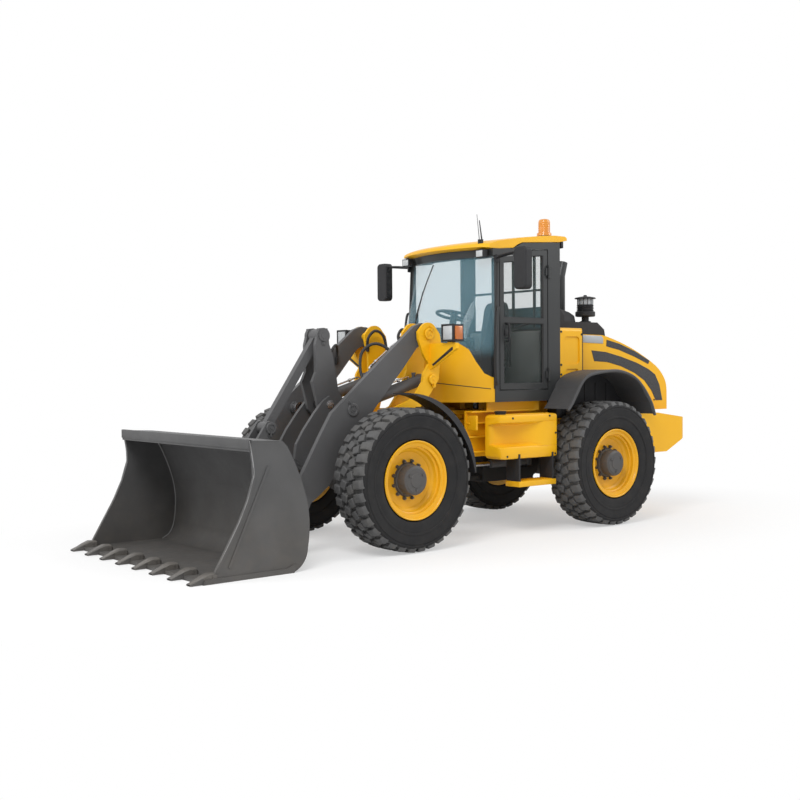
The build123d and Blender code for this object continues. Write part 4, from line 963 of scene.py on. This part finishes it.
# precleaner: ribbed body, pale bowl and a wide cap, with the duct to the air box
cleaner = {"place": at(-1870, 250, 2240), "ribs": 4, "wires": 12, "steps": 40,
           "body": [(0.0, 0.0), (0.066, 0.0), (0.066, 0.012), (0.042, 0.02), (0.042, 0.064), (0.106, 0.068),
                    (0.115, 0.076), (0.115, 0.12), (0.106, 0.128)],
           "rib": [(0.09, 0.134), (0.099, 0.138), (0.099, 0.144), (0.09, 0.148)],
           "cap": [(0.0, 0.274), (0.12, 0.274), (0.123, 0.28), (0.117, 0.288), (0.06, 0.3), (0.022, 0.304),
                   (0.018, 0.318), (0.0, 0.32)],
           "bowl": [(0.0, 0.204), (0.086, 0.204), (0.09, 0.21), (0.09, 0.27), (0.086, 0.276), (0.0, 0.276)]}
ribs = [(r, d + k * 0.018) for k in range(cleaner["ribs"]) for r, d in cleaner["rib"]]
bm = bmesh.new()
for profile in (cleaner["body"] + ribs + [(0.09, 0.206), (0.0, 0.206)], cleaner["cap"]):
    turned(bm, profile, cleaner["place"], (0, 0, 1), cleaner["steps"])
for k in range(cleaner["wires"]):
    turn = 2 * pi * k / cleaner["wires"]
    foot = cleaner["place"] + Vector((0.091 * cos(turn), 0.091 * sin(turn), 0.204))
    rodIn(bm, foot, foot + Vector((0, 0, 0.072)), 0.004, 8)
finishPiece("cleanerBody", bm, "hood", coats["mouldBlack"], replaces=("precleaner",), slot="precleaner")
bm = bmesh.new()
turned(bm, cleaner["bowl"], cleaner["place"], (0, 0, 1), cleaner["steps"])
finishPiece("dustBowl", bm, "hood", coats["badgeGrey"], slot="precleaner")
bm = bmesh.new()
duct = ((-1352, -300, 318, 60, 2396), (-1440, -290, 312, 56, 2388), (-1600, -250, 290, 40, 2356),
        (-1690, -220, 270, 20, 2316))
skin(bm, [[at(x, y0, 2234), at(x, y1, 2234), at(x, y1 - draw, top), at(x, y0 + draw, top)]
          for x, y0, y1, draw, top in duct])
soften(bm, 0.014, 3)
finishPiece("intakeDuct", bm, "hood", coats["mouldBlack"], slot="hood_cover")
bm = bmesh.new()
bothPlates(bm, [(-1335, 1600), (-1324, 1600), (-1324, 2146), (-1335, 2146)], 688, 692)
finishPiece("cowlGaps", bm, "rear_frame", hoseRubber, slot="rear_cowl")
print("body dressed")

# hoses over the steering joint, cylinder pipes, arch liners, bolts, seams, grip studs and lighter edge lines, which are
# edge wear and painted highlight
for k, y in enumerate((-84, -42, 0, 42, 84)):
    sag = 930 - 26 * (k % 2)
    hose("jointHose_" + str(k + 1), ["rear_frame", "front_frame"],
         [(-276, y, 1010 - 20 * k), (-170, y * 1.1, 985), (-20, y * 1.2, sag), (150, y * 1.15, 960),
          (330, y, 985 - 20 * k)], 14, ((-170, y, 950), (170, y, 950)))


def pipe(name, body, kind, y, first, last, lift):
    foot, run = cylinderLine(kind, y)
    up = Vector((0, 1, 0)).cross(run)
    up = up if up.z > 0 else -up
    bm = bmesh.new()
    rise = up * (lift / 1000)
    near, far = foot + run * (first / 1000), foot + run * (last / 1000)
    tube(bm, [near + rise * 0.7, near + rise + run * 0.03, near.lerp(far, 0.5) + rise, far + rise - run * 0.03,
              far + rise * 0.7], 0.01, 10, 8)
    for share in (0.25, 0.75):
        place = near.lerp(far, share) + rise
        turned(bm, [(0.01, -0.012), (0.018, -0.012), (0.018, 0.012), (0.01, 0.012), (0.01, -0.012)], place, run, 16)
    finishPiece(name, bm, body, steel, slot=body)


pipe("tiltPipe", "tilt_barrel", "tilt", 0, 150, 590, 74)
for hand, side in ((-1, "right"), (1, "left")):
    pipe("liftPipe_" + side, "lift_barrels", "lift", hand * liftSide, 160, 690, 80)

archLine = [(-672, 600), (-540, 806), (-392, 924), (-196, 986), (0, 996), (295, 964), (424, 908), (505, 800)]
bm = bmesh.new()
points = [(x - wheelAt[0], z + wheelAt[1]) for x, z in archLine] + [(-960, 1330), (-960, 1165), (-2020, 1165)]
bothPlates(bm, points, 626, 645)
for k in range(5):
    x = -1790 + k * 180
    bothPlates(bm, [(x, 1200), (x + 26, 1200), (x + 26, 1540), (x, 1540)], 644, 652)
finishPiece("archLiners", bm, "rear_frame", coats["mouldBlack"], slot="rear_fender_left")
boltSets = (("panelBolts", "rear_frame", "rear_cowl", 690, 0.013, 0.007,
             ((-985, 2105), (-985, 1745), (-985, 1640), (-1315, 2080), (-1315, 1640))),
            ("hoodBolts", "hood", "hood", 620, 0.011, 0.006, ((-2660, 1330), (-2200, 1330), (-1480, 1330))))
for name, body, slot, face, radius, height, spots in boltSets:
    bm = bmesh.new()
    for hand in (-1, 1):
        for x, z in spots:
            bolt(bm, at(x, hand * face, z), (0, hand, 0), radius, height)
    finishPiece(name, bm, body, coats["mouldBlack"], slot=slot)
bm = bmesh.new()
seam = []
for angle in range(4, 68, 6):
    turn = radians(angle)
    seam.append((cabSet["arc"][0] + 748 * cos(turn), 748 * sin(turn), 1585 - 85 * (angle - 4) / 60))
bothTubes(bm, seam, 0.004, 6, 3)
finishPiece("cowlSeams", bm, "rear_frame", hoseRubber, slot="cab_cowl")
studs = {"rows": (868, 894), "count": 13, "first": -560, "pitch": 48}
bm = bmesh.new()
for hand in (-1, 1):
    for row in studs["rows"]:
        for k in range(studs["count"]):
            foot = at(studs["first"] + studs["pitch"] * k, hand * row, tank["top"])
            rodIn(bm, foot - Vector((0, 0, 0.001)), foot + Vector((0, 0, 0.007)), 0.011, 8, 0.7)
finishPiece("gripStuds", bm, "rear_frame", coats["loaderYellow"], slot="tank_left")
# lighter grey beads along the bucket's edges: edge wear, and a painted highlight where the edges would catch the light
bm = bmesh.new()
rim = [(3248, 1128), (3216, 950), (3212, 820), (3270, 640), (3356, 460), (3560, 110)]
heel = [(2853, 30), (2769, 84), (2718, 206), (2700, 426), (2732, 632), (2811, 848), (2911, 1048)]
bothTubes(bm, [(x, 1187, z) for x, z in rim], 0.0045, 8, 5)
bothTubes(bm, [(x, 1158, z) for x, z in heel], 0.006, 8)
for hand in (-1, 1):
    rodIn(bm, at(3600, hand * 1188, 4), at(2846, hand * 1188, 4), 0.005, 8)
finishPiece("edgeWear", bm, "bucket", coats["wornGrey"], slot="bucket")
print("details added")

# operator's seat: a cushion and a back, swollen by a short cloth run, with piping
seatSet = {"voxel": 0.012, "pressure": 4.0, "frames": 14, "cap": 0.018}


def cushion(name, rings):
    bm = bmesh.new()
    skin(bm, rings)
    bmesh.ops.recalc_face_normals(bm, faces=bm.faces)
    soften(bm, 0.03, 3)
    data = bpy.data.meshes.new(name)
    bm.to_mesh(data)
    bm.free()
    piece = bpy.data.objects.new(name, data)
    scene.collection.objects.link(piece)
    for kind, settings in (("REMESH", {"mode": "VOXEL", "voxel_size": seatSet["voxel"]}),
                           ("SUBSURF", {"levels": 1, "render_levels": 1})):
        added = piece.modifiers.new(kind.lower(), kind)
        for key, value in settings.items():
            setattr(added, key, value)
        if kind == "REMESH":
            with bpy.context.temp_override(object=piece, active_object=piece):
                bpy.ops.object.modifier_apply(modifier=added.name)
    start = [v.co.copy() for v in piece.data.vertices]
    run = piece.modifiers.new("cloth", "CLOTH")
    run.settings.use_pressure = True
    run.settings.uniform_pressure_force = seatSet["pressure"]
    run.settings.effector_weights.gravity = 0
    run.point_cache.frame_end = seatSet["frames"]
    piece.modifiers.move(len(piece.modifiers) - 1, 0)
    for step in range(1, seatSet["frames"] + 1):
        scene.frame_set(step)
    piece.modifiers["subsurf"].show_viewport = False
    bpy.context.view_layer.update()
    shape = piece.evaluated_get(bpy.context.evaluated_depsgraph_get()).data
    moved = [v.co.copy() for v in shape.vertices]
    piece.modifiers.remove(run)
    piece.modifiers["subsurf"].show_viewport = True
    for v, a, b in zip(piece.data.vertices, start, moved):
        shift = b - a
        v.co = a + shift * min(1.0, seatSet["cap"] / max(shift.length, 1e-6))
    scene.frame_set(1)
    for p in piece.data.polygons:
        p.use_smooth = True
    piece.data.materials.append(seatCloth)
    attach(piece, "rear_frame")
    return piece


seatRings = [[at(x, y, z) for x, y, z in ring] for ring in (
    [(-640, -205, 1752), (-205, -200, 1752), (-205, 200, 1752), (-640, 205, 1752)],
    [(-648, -222, 1800), (-196, -212, 1800), (-196, 212, 1800), (-648, 222, 1800)],
    [(-622, -190, 1848), (-240, -182, 1840), (-240, 182, 1840), (-622, 190, 1848)])]
backRings = [[at(x, y, z) for x, y, z in ring] for ring in (
    [(-662, -196, 1868), (-586, -196, 1886), (-586, 196, 1886), (-662, 196, 1868)],
    [(-690, -212, 2100), (-606, -212, 2110), (-606, 212, 2110), (-690, 212, 2100)],
    [(-716, -190, 2400), (-652, -190, 2410), (-652, 190, 2410), (-716, 190, 2400)],
    [(-722, -150, 2462), (-668, -150, 2462), (-668, 150, 2462), (-722, 150, 2462)])]
seatPad = cushion("seatPad", seatRings)
cushion("backPad", backRings)
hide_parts("seat")
bm = bmesh.new()
block(bm, (-590, -190, 1400), (-270, 190, 1440), 10)
block(bm, (-560, -150, 1438), (-300, 150, 1690), 24, 3)
for z in range(1470, 1680, 34):
    block(bm, (-568, -158, z), (-292, 158, z + 16), 6)
block(bm, (-640, -205, 1688), (-230, 205, 1738), 14)
sidePlate(bm, [(-668, 1760), (-640, 1760), (-700, 2330), (-728, 2330)], -120, 120)
for hand in (-1, 1):
    sideBlock(bm, hand, (-600, 262, 2010), (-280, 322, 2062), 16, 3)
    sideBlock(bm, hand, (-606, 274, 1720), (-560, 310, 2030), 8)
finishPiece("seatFrame", bm, "rear_frame", coats["mouldBlack"], slot="seat")
bm = bmesh.new()
bothTubes(bm, [(-640, 218, 1800), (-420, 226, 1806), (-200, 214, 1800)], 0.005, 8)
bothTubes(bm, [(-610, 120, 1872), (-420, 126, 1872), (-236, 118, 1852)], 0.004, 8)
bothTubes(bm, [(-590, 130, 1930), (-600, 134, 2110), (-645, 124, 2390)], 0.004, 8)
finishPiece("seatPiping", bm, "rear_frame", hoseRubber, slot="seat")
print("seat padded")

# camera, light and floor
view = {"place": (7990.8, 9018.7, 1682.1), "yaw": -128.911, "pitch": -1.449, "roll": -0.42, "lens": 50.19}
light = {"key": (6.5, 5.0, 9.0, 5.0, 620), "fill": (9.0, -3.0, 5.0, 6.0, 170), "rear": (-8.0, 6.0, 7.0, 5.0, 300)}

camera = bpy.data.objects.new("camera", bpy.data.cameras.new("camera"))
camera.data.lens = view["lens"]
camera.data.sensor_width = 36
camera.data.clip_end = 200
camera.matrix_world = (Matrix.Translation(at(*view["place"])) @ Matrix.Rotation(radians(view["yaw"] - 90), 4, "Z")
                       @ Matrix.Rotation(radians(90 + view["pitch"]), 4, "X")
                       @ Matrix.Rotation(radians(view["roll"]), 4, "Z"))
scene.collection.objects.link(camera)
scene.camera = camera

for name, (x, y, z, size, power) in light.items():
    lamp = bpy.data.lights.new(name, "AREA")
    lamp.shape = "DISK"
    lamp.size = size
    lamp.energy = power
    item = bpy.data.objects.new(name, lamp)
    item.location = (x, y, z)
    item.rotation_euler = (Vector((0, 0, 1.2)) - item.location).to_track_quat("-Z", "Y").to_euler()
    scene.collection.objects.link(item)

# the world is dimmer as a light than it looks to the camera, in the glass and in reflections
sky = Shade("studio", bpy.data.worlds, "Background")
scene.world = sky.owner
seen = sky.node("ShaderNodeLightPath", out="Is Camera Ray")
for kind in ("Is Glossy Ray", "Is Transmission Ray"):
    seen = seen.sum("MAXIMUM", seen, sky.node("ShaderNodeLightPath", out=kind))
sky.wear(Color=(1, 1, 1), Strength=sky.node("ShaderNodeMapRange", None, {"Value": seen, "To Min": 0.62, "To Max": 1.0}))

# the floor fades to the white of the background away from the machine, for the camera alone
floorSet = {"reach": (4.3, 2.3), "fade": (0.92, 1.5), "lift": 0.42}
ground = Shade("studioFloor")
ground.wear(Base_Color=(0.92, 0.92, 0.92), Roughness=0.9)
spread = [ground.node("ShaderNodeSeparateXYZ", None, {0: ground.place()}, axis) for axis in ("X", "Y")]
reach = [(wire * (1 / length)) ** 2 for wire, length in zip(spread, floorSet["reach"])]
far = ground.node("ShaderNodeMapRange", {"interpolation_type": "SMOOTHSTEP"},
                  {"Value": (reach[0] + reach[1]) ** 0.5, "From Min": floorSet["fade"][0],
                   "From Max": floorSet["fade"][1], "To Min": floorSet["lift"], "To Max": 1.0})
mine = ground.node("ShaderNodeLightPath", out="Is Camera Ray")
glow = ground.node("ShaderNodeEmission", None, {"Color": (1, 1, 1), "Strength": 1.0})
blended = ground.node("ShaderNodeMixShader", None, {0: far * mine, 1: Wire(ground, ground.surface.outputs[0]), 2: glow})
ground.feed(ground.tree.nodes["Material Output"].inputs["Surface"], blended)
bm = bmesh.new()
bmesh.ops.create_grid(bm, x_segments=1, y_segments=1, size=60)
floor = finishPiece("floor", bm, None, ground.owner)
scene.view_settings.view_transform = "Standard"
print("studio ready")
